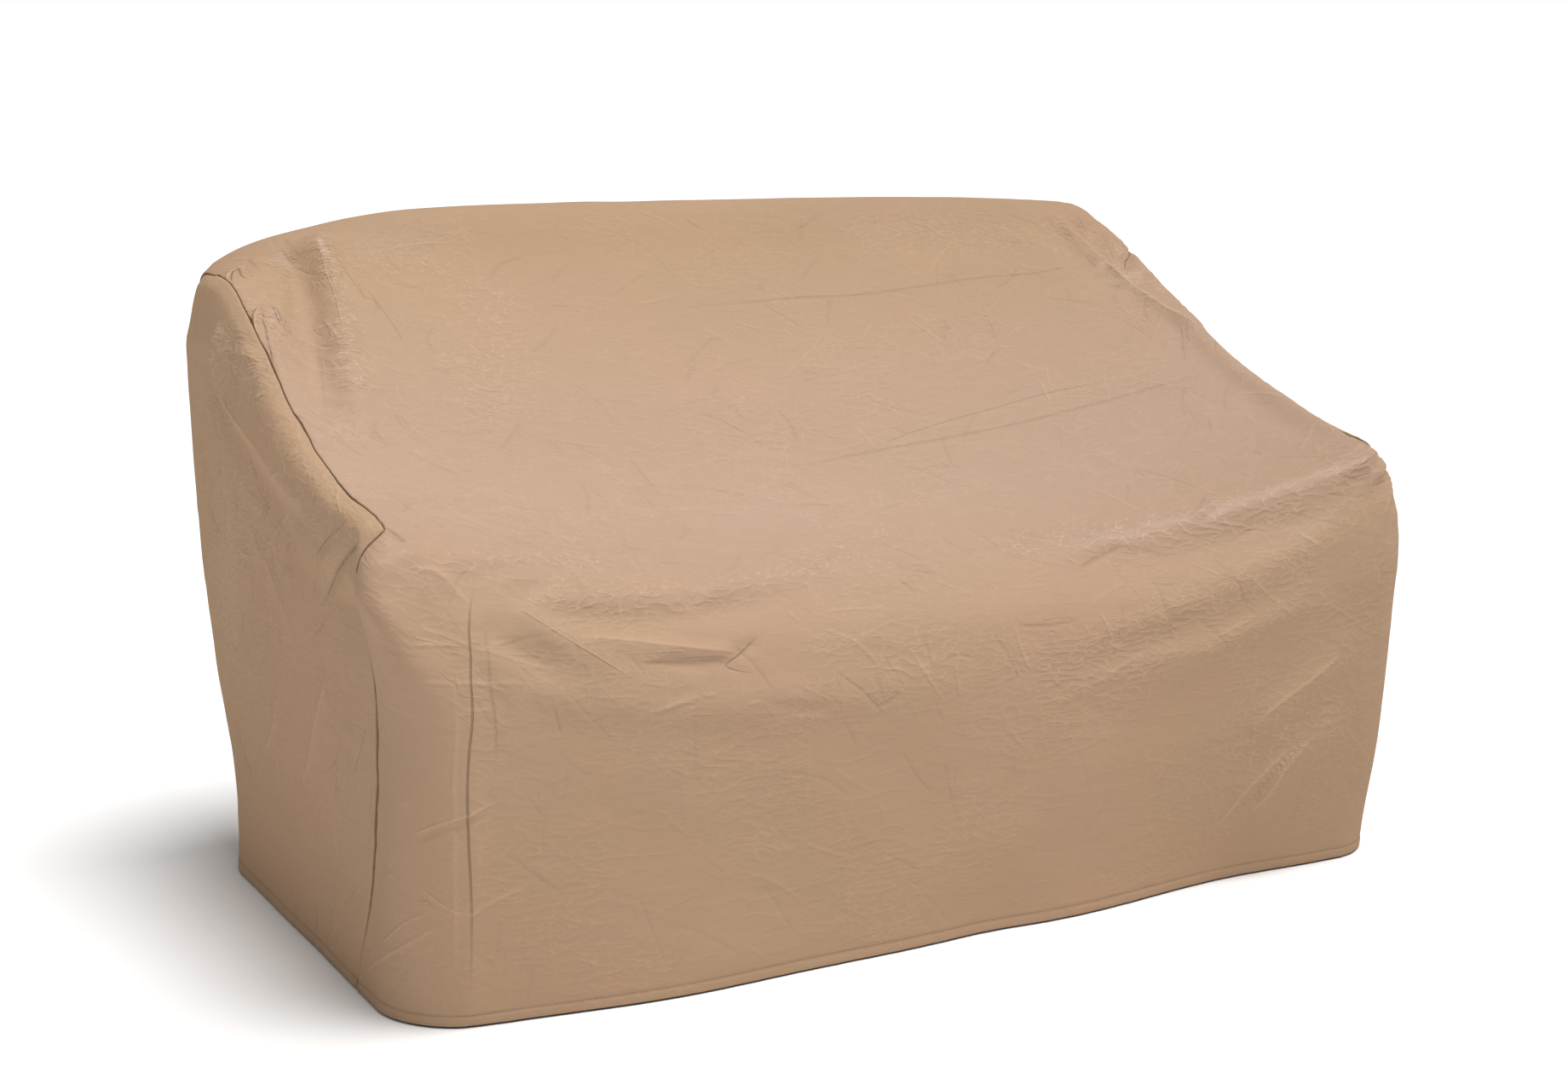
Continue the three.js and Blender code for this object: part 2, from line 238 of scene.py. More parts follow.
print("girth of the long panel:", round(fine_girths[-1]), "mm")

# %% [markdown]
# ## Where the grid lines run
# A fold of twenty millimetres needs a line every six or so, and a seam or a hem needs a few lines
# that stand much closer. The side panels take over the lines of the long panel at their shared
# seams, so the three grids can be sewn point to point.

# %% Grid lines
ACROSS_STEPS = 220
RISE_STEPS = 100
SLOPE_STEPS = 140
SEAM_LINES = (0, 1.2, 3, 6)
HEM_LINES = (0, 1, 3, 6.5, 10, 12, 13.2, 14.6, 17.5)
STITCH_LINE = HEM_LINES.index(12)


def spaced(length, steps, first, last):
    """steps + 1 places from 0 to length: first at its start, last at its end, the rest even."""
    free = steps + 3 - len(first) - len(last)
    even = np.linspace(first[-1], length - last[-1], free)
    return np.r_[first[:-1], even, length - np.array(last[-2::-1])]


across = spaced(2 * HALF_FLAT, ACROSS_STEPS, SEAM_LINES, SEAM_LINES) - HALF_FLAT
arm_girth, hem_girth = girth_at(ARM_CORNER), girth_at(LAST)
front_girths = hem_girth - spaced(hem_girth - arm_girth, RISE_STEPS, HEM_LINES, SEAM_LINES)
front_places = place_at(front_girths)
rise_shares = (LAST - front_places) / (LAST - ARM_CORNER)
rear_places = rise_shares * TOP_CORNER
top_girth = girth_at(TOP_CORNER)
slope_girths = top_girth + spaced(arm_girth - top_girth, SLOPE_STEPS, SEAM_LINES, SEAM_LINES)
slope_places = place_at(slope_girths)
slope_shares = (slope_places - TOP_CORNER) / (ARM_CORNER - TOP_CORNER)
row_places = np.r_[rear_places, slope_places[1:-1], front_places[::-1]]
print("rows:", len(row_places), "columns:", len(across))

# %% [markdown]
# ## Folds
# A fold is a soft ridge or trough along a smooth line. Its row gives the points that the line goes
# through, in flat coordinates, how wide it is on the left and the right of the line, how high it
# stands (below zero for a trough), and over which shares of its length its two ends die away.
# Across itself it falls off like a bell curve.

# %% Fold helpers
FOLD_COLUMNS = ("name", "line", "left", "right", "height", "fade_in", "fade_out")
LINE_STEPS = 4
REACH = 2.6  # widths after which a fold has died away


def ease(x, low, high):
    """0 up to low, 1 from high on, and smooth between them."""
    share = np.clip((x - low) / (high - low), 0, 1)
    return share * share * (3 - 2 * share)


def smooth_line(points):
    """Short straight steps along a smooth curve through the points."""
    p = np.array(points, float)
    if len(p) == 2:
        return p
    padded = np.concatenate([p[:1], p, p[-1:]])
    t = np.linspace(0, 1, LINE_STEPS, endpoint=False)[:, None]
    steps = []
    for a, b, c, d in zip(padded, padded[1:], padded[2:], padded[3:]):
        v, w = (c - a) / 2, (d - b) / 2
        steps.append(b + t * (v + t * (3 * (c - b) - 2 * v - w + t * (2 * (b - c) + v + w))))
    return np.concatenate([*steps, p[-1:]])


def beside(line, places):
    """How far places are from a line: the distance, the share along it and the side it is on."""
    nearest = np.full(len(places), np.inf)
    along = np.zeros(len(places))
    side = np.zeros(len(places))
    for k, (a, b) in enumerate(zip(line, line[1:])):
        step = b - a
        offset = places - a
        share = np.clip(offset @ step / (step @ step), 0, 1)
        distance = np.linalg.norm(offset - share[:, None] * step, axis=1)
        closer = distance < nearest
        nearest[closer] = distance[closer]
        along[closer] = (k + share[closer]) / (len(line) - 1)
        turn = step[0] * offset[:, 1] - step[1] * offset[:, 0]
        side[closer] = np.sign(turn[closer])
    return nearest, along, side


def hump(distance, width):
    """A bell curve: 1 at no distance, and near 0 from twice the width on."""
    return np.exp(-((distance / width) ** 2))


def fades(along, fade_in, fade_out):
    """0 at the two ends of a line and 1 between, where the ends die away over these shares."""
    start = ease(along, 0, fade_in) if fade_in else 1
    end = ease(1 - along, 0, fade_out) if fade_out else 1
    return start * end


def near(line, places, reach):
    """Which places lie within reach of a line's box."""
    low, high = line.min(0) - reach, line.max(0) + reach
    return np.nonzero(((places > low) & (places < high)).all(1))[0]


def fold_lift(folds, places):
    """How far all the folds of a table lift each of the flat places."""
    lift = np.zeros(len(places))
    for row in folds:
        f = SimpleNamespace(**dict(zip(FOLD_COLUMNS, row)))
        line = smooth_line(f.line)
        close = near(line, places, REACH * max(f.left, f.right))
        distance, along, side = beside(line, places[close])
        width = np.where(side < 0, f.left, f.right)
        lift[close] += f.height * hump(distance, width) * fades(along, f.fade_in, f.fade_out)
    return lift


# %% Main folds, as in the CAD
MAIN_FOLDS = [
    ("left back valley", [(-585, 940), (-616, 1204), (-662, 1445)], 42, 34, -20, 0.25, 0.5),
    ("left back ridge", [(-545, 930), (-562, 1087), (-619, 1457)], 26, 34, 6, 0.2, 0.5),
    ("right back valley", [(606, 930), (606, 1150), (655, 1380)], 34, 40, -13, 0.3, 0.5),
    ("right back ridge", [(560, 930), (566, 1150), (610, 1400)], 34, 28, 5, 0.3, 0.5),
    ("arm corner ridge", [(-680, 1712), (-579, 1783), (-461, 1880)], 30, 24, 10, 0.4, 0.6),
    ("arm corner valley", [(-560, 1764), (-497, 1819), (-440, 1862)], 22, 22, -8, 0.4, 0.5),
    ("second ridge", [(-556, 1760), (-483, 1801), (-340, 1850)], 26, 26, 7, 0.4, 0.5),
    ("left seat edge", [(-525, 1760), (-315, 1742), (-57, 1652)], 40, 30, 6, 0.3, 0.5),
    ("right seat edge", [(120, 1694), (419, 1719), (685, 1742)], 34, 34, 8, 0.4, 0),
    ("right hollow", [(140, 1775), (380, 1770), (600, 1772)], 30, 30, -9, 0.4, 0.3),
    ("right middle ridge", [(84, 1864), (333, 1827), (625, 1796)], 32, 30, 11, 0.4, 0.2),
    ("right lower hollow", [(130, 1890), (380, 1858), (560, 1826)], 26, 26, -7, 0.4, 0.4),
    ("right lower ridge", [(121, 1916), (340, 1895), (530, 1846)], 28, 30, 8, 0.4, 0.4),
    ("right low ridge", [(377, 2034), (461, 1982), (570, 1930)], 26, 26, 6, 0.4, 0.4),
    ("right lowest ridge", [(370, 2130), (441, 2074), (540, 2005)], 28, 28, 7, 0.4, 0.4),
    ("left hem bulge", [(-330, 2198), (-330, 2130), (-320, 2020)], 130, 130, 15, 0, 0.9),
    ("middle hem hollow", [(30, 2198), (30, 2150), (30, 2080)], 70, 70, -9, 0, 0.9),
    ("right hem hollow", [(345, 2198), (340, 2120), (325, 2000)], 150, 130, -20, 0, 0.9),
]
print("main folds:", len(MAIN_FOLDS))

# %% [markdown]
# The smaller folds are in the sheet only here. Those of the slope fan out from the two back
# corners and from the arms, where the sheet is pulled, and the ones in front are the slack that
# rolls over the edge of the seat.

# %% Small folds of the long panel
SMALL_FOLDS = [
    ("left ridge crest", [(-552, 940), (-560, 1086), (-577, 1207), (-597, 1315), (-618, 1439)],
     18, 30, 6, 0.05, 0.2),
    ("left ridge body", [(-562, 1087), (-582, 1210), (-605, 1340), (-622, 1470)], 26, 40, 6, 0.3, 0.4),
    ("left valley floor", [(-569, 969), (-586, 1068), (-605, 1183), (-631, 1309), (-661, 1445)],
     26, 20, -4, 0.15, 0.15),
    ("left back crown", [(-690, 760), (-650, 860), (-560, 930)], 50, 50, 7, 0, 0.5),
    ("right edge swell", [(690, 930), (690, 1150), (690, 1400)], 45, 45, 6, 0.2, 0.3),
    ("right edge crest", [(684, 1180), (680, 1400), (682, 1560), (690, 1700)], 22, 22, 9, 0.3, 0.3),
    ("left crinkle band", [(-605, 967), (-626, 1088), (-663, 1226)], 10, 10, 2.5, 0.3, 0.4),
    ("left corner hollow", [(-655, 990), (-650, 1060), (-668, 1140)], 12, 12, -3, 0.3, 0.3),
    ("left pucker", [(-690, 1190), (-661, 1146), (-652, 1185)], 6, 6, 7, 0.1, 0.3),
    ("left pucker hollow", [(-676, 1192), (-664, 1172), (-662, 1206)], 6, 6, -4, 0.1, 0.4),
    ("left seam ridge", [(-668, 1200), (-682, 1278), (-676, 1340)], 7, 7, 3.5, 0.2, 0.4),
    ("right band ridge", [(622, 962), (633, 1053), (635, 1142), (648, 1231), (669, 1328), (690, 1402)],
     10, 13, 3, 0.1, 0.2),
    ("right valley, shallower", [(606, 930), (606, 1150), (655, 1380)], 34, 40, 9, 0.2, 0.5),
    ("right pinch", [(690, 1129), (678, 1150), (663, 1172), (652, 1200)], 8, 8, -4, 0.1, 0.4),
    ("right pinch lip", [(652, 1160), (650, 1192), (682, 1207)], 7, 7, 3, 0.2, 0.3),
    ("left fan 1", [(-628, 1755), (-539, 1712), (-421, 1690), (-293, 1650), (-185, 1620)],
     9, 12, 2.8, 0.2, 0.5),
    ("left fan 2", [(-560, 1755), (-500, 1735), (-437, 1720)], 8, 8, 2, 0.3, 0.4),
    ("dart ridge", [(-661, 1733), (-622, 1752), (-588, 1766), (-552, 1788)], 8, 8, 3.5, 0.2, 0.4),
    ("ridge by the corner", [(-516, 1774), (-475, 1797), (-430, 1822), (-380, 1850)], 9, 14, 4.5, 0.2, 0.4),
    ("beside that ridge", [(-545, 1800), (-500, 1826), (-450, 1856)], 12, 14, -2.5, 0.2, 0.4),
    ("seat edge wave 1", [(-509, 1761), (-467, 1759), (-422, 1762), (-369, 1754), (-307, 1755)],
     16, 12, 3, 0.2, 0.3),
    ("seat edge wave 2", [(-325, 1712), (-237, 1698), (-121, 1646), (-30, 1611), (30, 1605)],
     16, 12, 3, 0.3, 0.4),
    ("left glossy edge", [(-307, 1755), (-271, 1740), (-196, 1731), (-124, 1692), (-58, 1655)],
     18, 15, 3.5, 0.2, 0.3),
    ("under the wave", [(-500, 1776), (-400, 1780), (-300, 1775), (-200, 1752)], 16, 18, -3, 0.3, 0.3),
    ("sharp fold", [(-441, 1806), (-373, 1809), (-258, 1825)], 7, 16, 6, 0.25, 0.12),
    ("sharp fold foot", [(-377, 1833), (-320, 1834), (-270, 1834)], 8, 8, -3.5, 0.4, 0.2),
    ("front press edge", [(-558, 1790), (-566, 1944), (-552, 2076), (-528, 2190)], 9, 26, 3, 0.1, 0),
    ("front band", [(-520, 1860), (-380, 1880), (-180, 1890), (40, 1885)], 30, 26, 5, 0.3, 0.4),
    ("fold tip", [(-234, 1807), (-256, 1826), (-277, 1833), (-254, 1846)], 6, 6, -4, 0.2, 0.3),
    ("front nick", [(-259, 1882), (-187, 1897), (-163, 1896)], 7, 7, -2, 0.3, 0.3),
    ("right upper crease", [(202, 1761), (243, 1748), (300, 1735)], 7, 7, -2.2, 0.3, 0.3),
    ("right nick", [(456, 1717), (433, 1724), (408, 1738)], 6, 6, -1.8, 0.3, 0.3),
    ("right middle crest", [(115, 1892), (181, 1861), (322, 1835), (398, 1825), (479, 1814), (560, 1804)],
     12, 12, 1.5, 0.3, 0.3),
    ("right lower crest", [(121, 1920), (179, 1910), (256, 1892), (337, 1898), (377, 1885), (443, 1873),
                           (494, 1863)], 10, 12, 1.5, 0.2, 0.3),
    ("arm fan 1", [(686, 1752), (640, 1746), (596, 1758)], 8, 9, 4, 0.1, 0.5),
    ("arm fan 2", [(686, 1766), (640, 1768), (596, 1784)], 8, 8, 3.5, 0.1, 0.5),
    ("arm fan 3", [(684, 1780), (650, 1792), (600, 1822)], 8, 9, 4, 0.1, 0.5),
    ("arm fan dip 1", [(686, 1759), (640, 1757), (600, 1771)], 6, 6, -3, 0.1, 0.5),
    ("arm fan dip 2", [(684, 1773), (645, 1779), (600, 1802)], 6, 6, -3, 0.1, 0.5),
    ("right diagonal 1", [(347, 2135), (377, 2095), (407, 2071), (447, 2042)], 10, 14, 2.5, 0.3, 0.4),
    ("right diagonal 2", [(386, 2012), (428, 1986), (482, 1964), (524, 1948)], 10, 14, 2.5, 0.3, 0.4),
    ("right diagonal 3", [(390, 2125), (437, 2068), (477, 2036)], 9, 12, 2, 0.3, 0.4),
    ("front diagonal 1", [(-420, 1905), (-330, 1985), (-260, 2100)], 40, 40, 2.5, 0.4, 0.5),
    ("front diagonal 2", [(-120, 1930), (-60, 2010), (-30, 2110)], 36, 36, -2.5, 0.4, 0.5),
    ("front diagonal 3", [(200, 1960), (150, 2040), (130, 2120)], 38, 38, 2.5, 0.4, 0.5),
    ("back hang 1", [(-520, 720), (-440, 520), (-400, 260)], 46, 60, 6, 0.3, 0.5),
    ("back hang 2", [(-430, 690), (-350, 500), (-320, 300)], 34, 30, -4, 0.3, 0.5),
    ("back hang 3", [(530, 740), (450, 500), (420, 240)], 60, 46, 6, 0.3, 0.5),
    ("back hang 4", [(410, 700), (350, 520), (300, 330)], 30, 34, -4, 0.3, 0.5),
    ("back sag", [(-260, 640), (0, 560), (280, 630)], 50, 40, 4, 0.3, 0.3),
    ("back low sag", [(-200, 330), (20, 280), (230, 330)], 40, 40, -3, 0.3, 0.3),
]
SOFTENED = {  # main folds that are softer here than in the CAD, and what is added to their height
    "right back ridge": -3,
    "arm corner valley": 3,
    "right hollow": 3.5,
    "right middle ridge": -5,
    "right lower hollow": 4,
    "right lower ridge": -3.5,
}
SMALL_FOLDS += [(*row[:4], SOFTENED[row[0]], *row[5:]) for row in MAIN_FOLDS if row[0] in SOFTENED]
print("small folds:", len(SMALL_FOLDS))

# %% The long panel
def normals_of(grid):
    """Unit normals of a grid of points."""
    up = np.gradient(grid, axis=0)
    over = np.gradient(grid, axis=1)
    normal = np.cross(up, over)
    return normal / np.linalg.norm(normal, axis=2, keepdims=True)


main_smooth = smooth_skin(row_places, across / HALF_FLAT)
main_flat = np.stack(np.meshgrid(across, girth_at(row_places)), -1)
main_lift = fold_lift(MAIN_FOLDS, main_flat.reshape(-1, 2)).reshape(main_flat.shape[:2])
main_grid = main_smooth + normals_of(main_smooth) * main_lift[..., None]
print("long panel:", main_grid.shape[:2], "points")

# %% [markdown]
# ## The side panels
# A side panel is stretched between its four borders: the rear seam, the slope seam, the front seam
# and the hem. Such a patch would be too hollow, because the real panel is pushed out by the arm
# inside. So it is moved outwards to a table of reaches, and under the slope seam it puffs up.

# %% Side panels
REACH_SHARES = (0, 0.15, 0.3, 0.45, 0.6, 0.8, 1)  # shares of the height
REACHES = (702, 702, 703, 706, 709, 712, 714)
REAR_WIDTHS = (240, 240, 230, 190, 125, 85, 70)
REAR_CORNER, CORNER_STEPS = 135, 40
SIDE_DEPTH = 780
FRONT_WIDTH = 35
FRONT_SHORTENING = 0.8
FACET_FRONT, FACET_REAR = 60, 85
PUFF_HEIGHT, PUFF_DEPTH, PUFF_WIDTH = 13, 60, 150
PUFF_FADES = (0.2, 0.45)  # the right side panel puffs up only near the rear, up to these shares
FULL_SHARE = 0.46
REAR_SLACK, REAR_SLACK_SHARE = 13, 0.35


def round_in(share):
    """The quarter of a circle: steep at the start, flat at the end."""
    return np.sqrt(1 - (1 - np.clip(share, 0, 1)) ** 2)


def hem_line(rear_foot, front_foot, side):
    """The hem of a side panel, round its rear corner and straight on to the front seam."""
    turn = np.linspace(math.pi / 2, 0, CORNER_STEPS)
    centre = np.array([REACHES[0], rear_foot[1]]) - REAR_CORNER
    corner = centre + REAR_CORNER * np.stack([np.cos(turn), np.sin(turn)], -1)
    rear, front = ((abs(foot[0]), foot[1]) for foot in (rear_foot, front_foot))
    path = np.concatenate([[rear], corner, [front]])
    length = np.r_[0, np.cumsum(np.linalg.norm(np.diff(path, axis=0), axis=1))]
    at = slope_shares * length[-1]
    x, y = (np.interp(at, length, path[:, k]) for k in (0, 1))
    return np.stack([side * x, y, np.zeros_like(x)], -1)


def side_grid(side):
    """The outer face of a side panel, side -1 at the left and 1 at the right."""
    rim = main_grid[:, 0 if side < 0 else -1]
    rear, front = rim[: RISE_STEPS + 1], rim[::-1][: RISE_STEPS + 1]
    top = rim[RISE_STEPS : RISE_STEPS + SLOPE_STEPS + 1]
    bottom = hem_line(rear[0], front[0], side)
    a = slope_shares[None, :, None]
    b = ((rear[:, 2] / rear[-1, 2] + front[:, 2] / front[-1, 2]) / 2)[:, None, None]
    grid = (1 - b) * bottom + b * top + (1 - a) * rear[:, None] + a * front[:, None]
    grid -= (1 - a) * ((1 - b) * rear[0] + b * rear[-1]) + a * ((1 - b) * front[0] + b * front[-1])
    a, b = a[..., 0], b[..., 0]
    from_rear = a * SIDE_DEPTH
    from_front = (1 - a) * SIDE_DEPTH * FRONT_SHORTENING
    below = top[:, 2] - grid[..., 2]
    facet = np.clip(below / (FACET_REAR + (FACET_FRONT - FACET_REAR) * a), 0, 1)
    front_round = round_in(from_front / FRONT_WIDTH)
    rounding = round_in(from_rear / np.interp(b, REACH_SHARES, REAR_WIDTHS)) * front_round
    slack = REAR_SLACK * b * (1 - ease(a, 0, REAR_SLACK_SHARE))
    short = np.interp(b, REACH_SHARES, REACHES) - slack - np.abs(grid[..., 0])
    push = np.sin(math.pi / 2 * np.clip(b / FULL_SHARE, 0, 1))
    grid[..., 0] += side * np.maximum(short, 0) * rounding * facet * push
    puff = np.sin(math.pi * np.clip(below / PUFF_DEPTH, 0, 1)) * front_round
    if side > 0:
        puff *= 1 - ease(a, *PUFF_FADES)
    grid[..., 2] += PUFF_HEIGHT * puff * ease(from_rear, 0, PUFF_WIDTH)
    return grid


left_grid, right_grid = side_grid(-1), side_grid(1)
print("side panels:", left_grid.shape[:2], "points each")

# %% [markdown]
# ## Sewing the skin
# The three grids are put into one list of points, in which a seam point is there only once. That
# way everything that follows crosses the seams without a step: the rounding of the seams, the
# small creases, and the direction in which a fold stands out.

# %% Weld
columns = len(across)
main_ids = np.arange(len(row_places) * columns).reshape(-1, columns)


def side_ids(edge, first_free):
    """Point numbers of a side panel's grid: shared at its seams, new elsewhere."""
    rim = main_ids[:, edge]
    ids = np.zeros((RISE_STEPS + 1, SLOPE_STEPS + 1), int)
    ids[:, 0] = rim[: RISE_STEPS + 1]
    ids[:, -1] = rim[::-1][: RISE_STEPS + 1]
    ids[-1] = rim[RISE_STEPS : RISE_STEPS + SLOPE_STEPS + 1]
    free = RISE_STEPS * (SLOPE_STEPS - 1)
    ids[:-1, 1:-1] = first_free + np.arange(free).reshape(RISE_STEPS, SLOPE_STEPS - 1)
    return ids


left_ids = side_ids(0, main_ids.size)
right_ids = side_ids(-1, int(left_ids.max()) + 1)
PANELS = {
    "main_panel": SimpleNamespace(ids=main_ids, turn=1, grid=main_grid),
    "left_side_panel": SimpleNamespace(ids=left_ids, turn=-1, grid=left_grid),
    "right_side_panel": SimpleNamespace(ids=right_ids, turn=1, grid=right_grid),
}
count = int(right_ids.max()) + 1
skin = np.zeros((count, 3))
for name in ("left_side_panel", "right_side_panel", "main_panel"):
    skin[PANELS[name].ids] = PANELS[name].grid


def grid_quads(ids, turn):
    """The four-sided faces of a grid of point numbers, facing out."""
    quads = np.stack([ids[:-1, :-1], ids[1:, :-1], ids[1:, 1:], ids[:-1, 1:]], -1).reshape(-1, 4)
    return quads if turn > 0 else quads[:, ::-1]


skin_quads = np.concatenate([grid_quads(p.ids, p.turn) for p in PANELS.values()])


def skin_normals(points):
    """Unit normals at all points of the sewn skin."""
    a, b, c, d = (points[skin_quads[:, k]] for k in range(4))
    face = np.cross(c - a, d - b)
    normal = np.zeros_like(points)
    for axis in range(3):
        for k in range(4):
            normal[:, axis] += np.bincount(skin_quads[:, k], face[:, axis], len(points))
    return normal / np.linalg.norm(normal, axis=1, keepdims=True)


print("skin:", count, "points")

# %% [markdown]
# Each point is told how far it is from the nearest seam and from the hem, along the sheet. The
# grooves, the hem and the brown line of painted shade and dirt in the seams and stitching are all drawn
# from these two distances.

# %% Distances to seams and hem
def along_axis(grid, axis):
    """Length along the grid lines in one direction, from the first line."""
    step = np.linalg.norm(np.diff(grid, axis=axis), axis=2)
    pad = [(0, 0), (0, 0)]
    pad[axis] = (1, 0)
    return np.pad(np.cumsum(step, axis=axis), pad)


seam_distance = np.full(count, np.inf)
hem_distance = np.full(count, np.inf)
for name, panel in PANELS.items():
    over, up = along_axis(panel.grid, 1), along_axis(panel.grid, 0)
    panel.over, panel.up = over, up
    to_seam = np.minimum(over, over[:, -1:] - over)
    to_hem = up
    if name == "main_panel":
        to_hem = np.minimum(up, up[-1:] - up)
    else:
        to_seam = np.minimum(to_seam, up[-1:] - up)
    seam_distance[panel.ids] = np.minimum(seam_distance[panel.ids], to_seam)
    hem_distance[panel.ids] = np.minimum(hem_distance[panel.ids], to_hem)
print("farthest from a seam:", round(seam_distance.max()), "mm")

# %% [markdown]
# A sewn edge in vinyl is soft, so the skin is relaxed beside its seams: each point moves a little
# towards its neighbours, many times over. Near neighbours pull more, which keeps the closely set
# grid lines where they are.

# %% Round the seams
RELAX_FULL, RELAX_END, RELAX_EDGES = 5.4, 18, 28.8  # distances from the seam
RELAX_HEM = 30  # up to this distance from the hem the sheet is relaxed less
RELAX_SHARE = 0.6
RELAX_ROUNDS = 50
edges = np.concatenate([skin_quads[:, [k, (k + 1) % 4]] for k in range(4)])
edges = np.unique(np.sort(edges, axis=1), axis=0)
edges = edges[(seam_distance[edges] < RELAX_EDGES).all(1)]
soft = RELAX_SHARE * (1 - ease(seam_distance, RELAX_FULL, RELAX_END))
soft *= ease(hem_distance, 0, RELAX_HEM)
starts, ends = edges.T
pull = 1 / np.linalg.norm(skin[starts] - skin[ends], axis=1)
total = np.bincount(starts, pull, count) + np.bincount(ends, pull, count)
relaxing = np.nonzero((soft > 0) & (total > 0))[0]
for _ in range(RELAX_ROUNDS):
    for axis in range(3):
        x = skin[:, axis]
        mean = np.bincount(starts, pull * x[ends], count) + np.bincount(ends, pull * x[starts], count)
        mean = mean[relaxing] / total[relaxing]
        skin[relaxing, axis] += soft[relaxing] * (mean - x[relaxing])
print("relaxed points:", len(relaxing))

# %% [markdown]
# ## Small unevenness
# Coated sheet remembers how it was packed. We scatter short shallow creases over it, in the few
# directions in which a folded cover is pulled, and add a slow wander of a millimetre or two, so
# that no part of it is truly flat. All of it comes from fixed seeds.

# %% Creases and wander
LATTICE = 64
WANDER_HEIGHTS = (1.4, 0.6)
STRAY, BOW = 14, 0.1  # how far a crease strays from its direction, in degrees, and how it bends
BREADTHS = (5.5, 10)
SOFT_LENGTHS = (22, 80)


def wander(places, size, seed):
    """Soft noise from -1 to 1 over flat places, with lumps about size across."""
    lattice = np.random.default_rng(seed).uniform(-1, 1, (LATTICE, LATTICE))
    cell = places / size
    base = np.floor(cell).astype(int)
    share = cell - base
    s = share * share * (3 - 2 * share)
    x0, y0 = base[:, 0] % LATTICE, base[:, 1] % LATTICE
    x1, y1 = (x0 + 1) % LATTICE, (y0 + 1) % LATTICE
    low = lattice[x0, y0] * (1 - s[:, 0]) + lattice[x1, y0] * s[:, 0]
    high = lattice[x0, y1] * (1 - s[:, 0]) + lattice[x1, y1] * s[:, 0]
    return low * (1 - s[:, 1]) + high * s[:, 1]


def slow_wander(places, sizes, seeds):
    """A wander in large lumps and a lower one in small lumps on top of it, in millimetres."""
    rows = zip(WANDER_HEIGHTS, sizes, seeds)
    return sum(height * wander(places, size, seed) for height, size, seed in rows)


def scattered(table, lengths, seed):
    """Rows of short random creases, over each flat rectangle of a table."""
    rows = []
    for k, (low, high, amount, directions, strength) in enumerate(table):
        rng = np.random.default_rng(seed + k)
        for _ in range(amount):
            centre = rng.uniform(low, high)
            angle = math.radians(rng.choice(directions) + rng.normal(0, STRAY))
            step = np.array([math.cos(angle), math.sin(angle)]) * rng.uniform(*lengths) / 2
            bow = np.array([-step[1], step[0]]) * rng.normal(0, BOW)
            width = rng.uniform(*BREADTHS)
            height = strength * rng.choice([-1, 1]) * rng.uniform(0.3, 1)
            line = [centre - step, centre + bow, centre + step]
            rows.append(("crease", line, width, width, height, 0.4, 0.4))
    return rows


def side_flat(panel):
    """Flat coordinates of a side panel: Y and the height of each point."""
    return panel.grid[..., 1:].reshape(-1, 2)


def side_cloth(panel):
    """Lengths along a side panel from its front seam and from its hem."""
    back = panel.over[:, -1:] - panel.over
    return np.stack([back, panel.up], -1).reshape(-1, 2)


SOFT_CREASES = [  # from, to, how many, their directions in degrees, their height
    ((-690, 0), (690, 2198), 360, (35, 55, 5, 130), 0.7),
    ((-690, 950), (690, 1700), 200, (35, 50, -8, 125), 1.3),
    ((-690, 930), (-530, 1480), 70, (75, 95, 60), 1.4),
    ((600, 930), (690, 1420), 50, (75, 100, 120), 1.4),
    ((-640, 1640), (690, 1900), 90, (0, 10, -12, 40), 1.3),
    ((-690, 1700), (-430, 1900), 40, (30, 45, 60), 1.3),
]
lift = np.zeros(count)
main_places = main_flat.reshape(-1, 2)
main_creases = scattered(SOFT_CREASES, SOFT_LENGTHS, seed=4)
main_small = fold_lift(SMALL_FOLDS + main_creases, main_places)
main_small += slow_wander(main_places, (170, 70), (1, 2))
lift[main_ids.ravel()] = main_small
print("scattered creases:", len(main_creases))

# %% [markdown]
# The side panels hang more freely than the front. Their folds run down from the seams and the
# arms, and are told by Y and height.

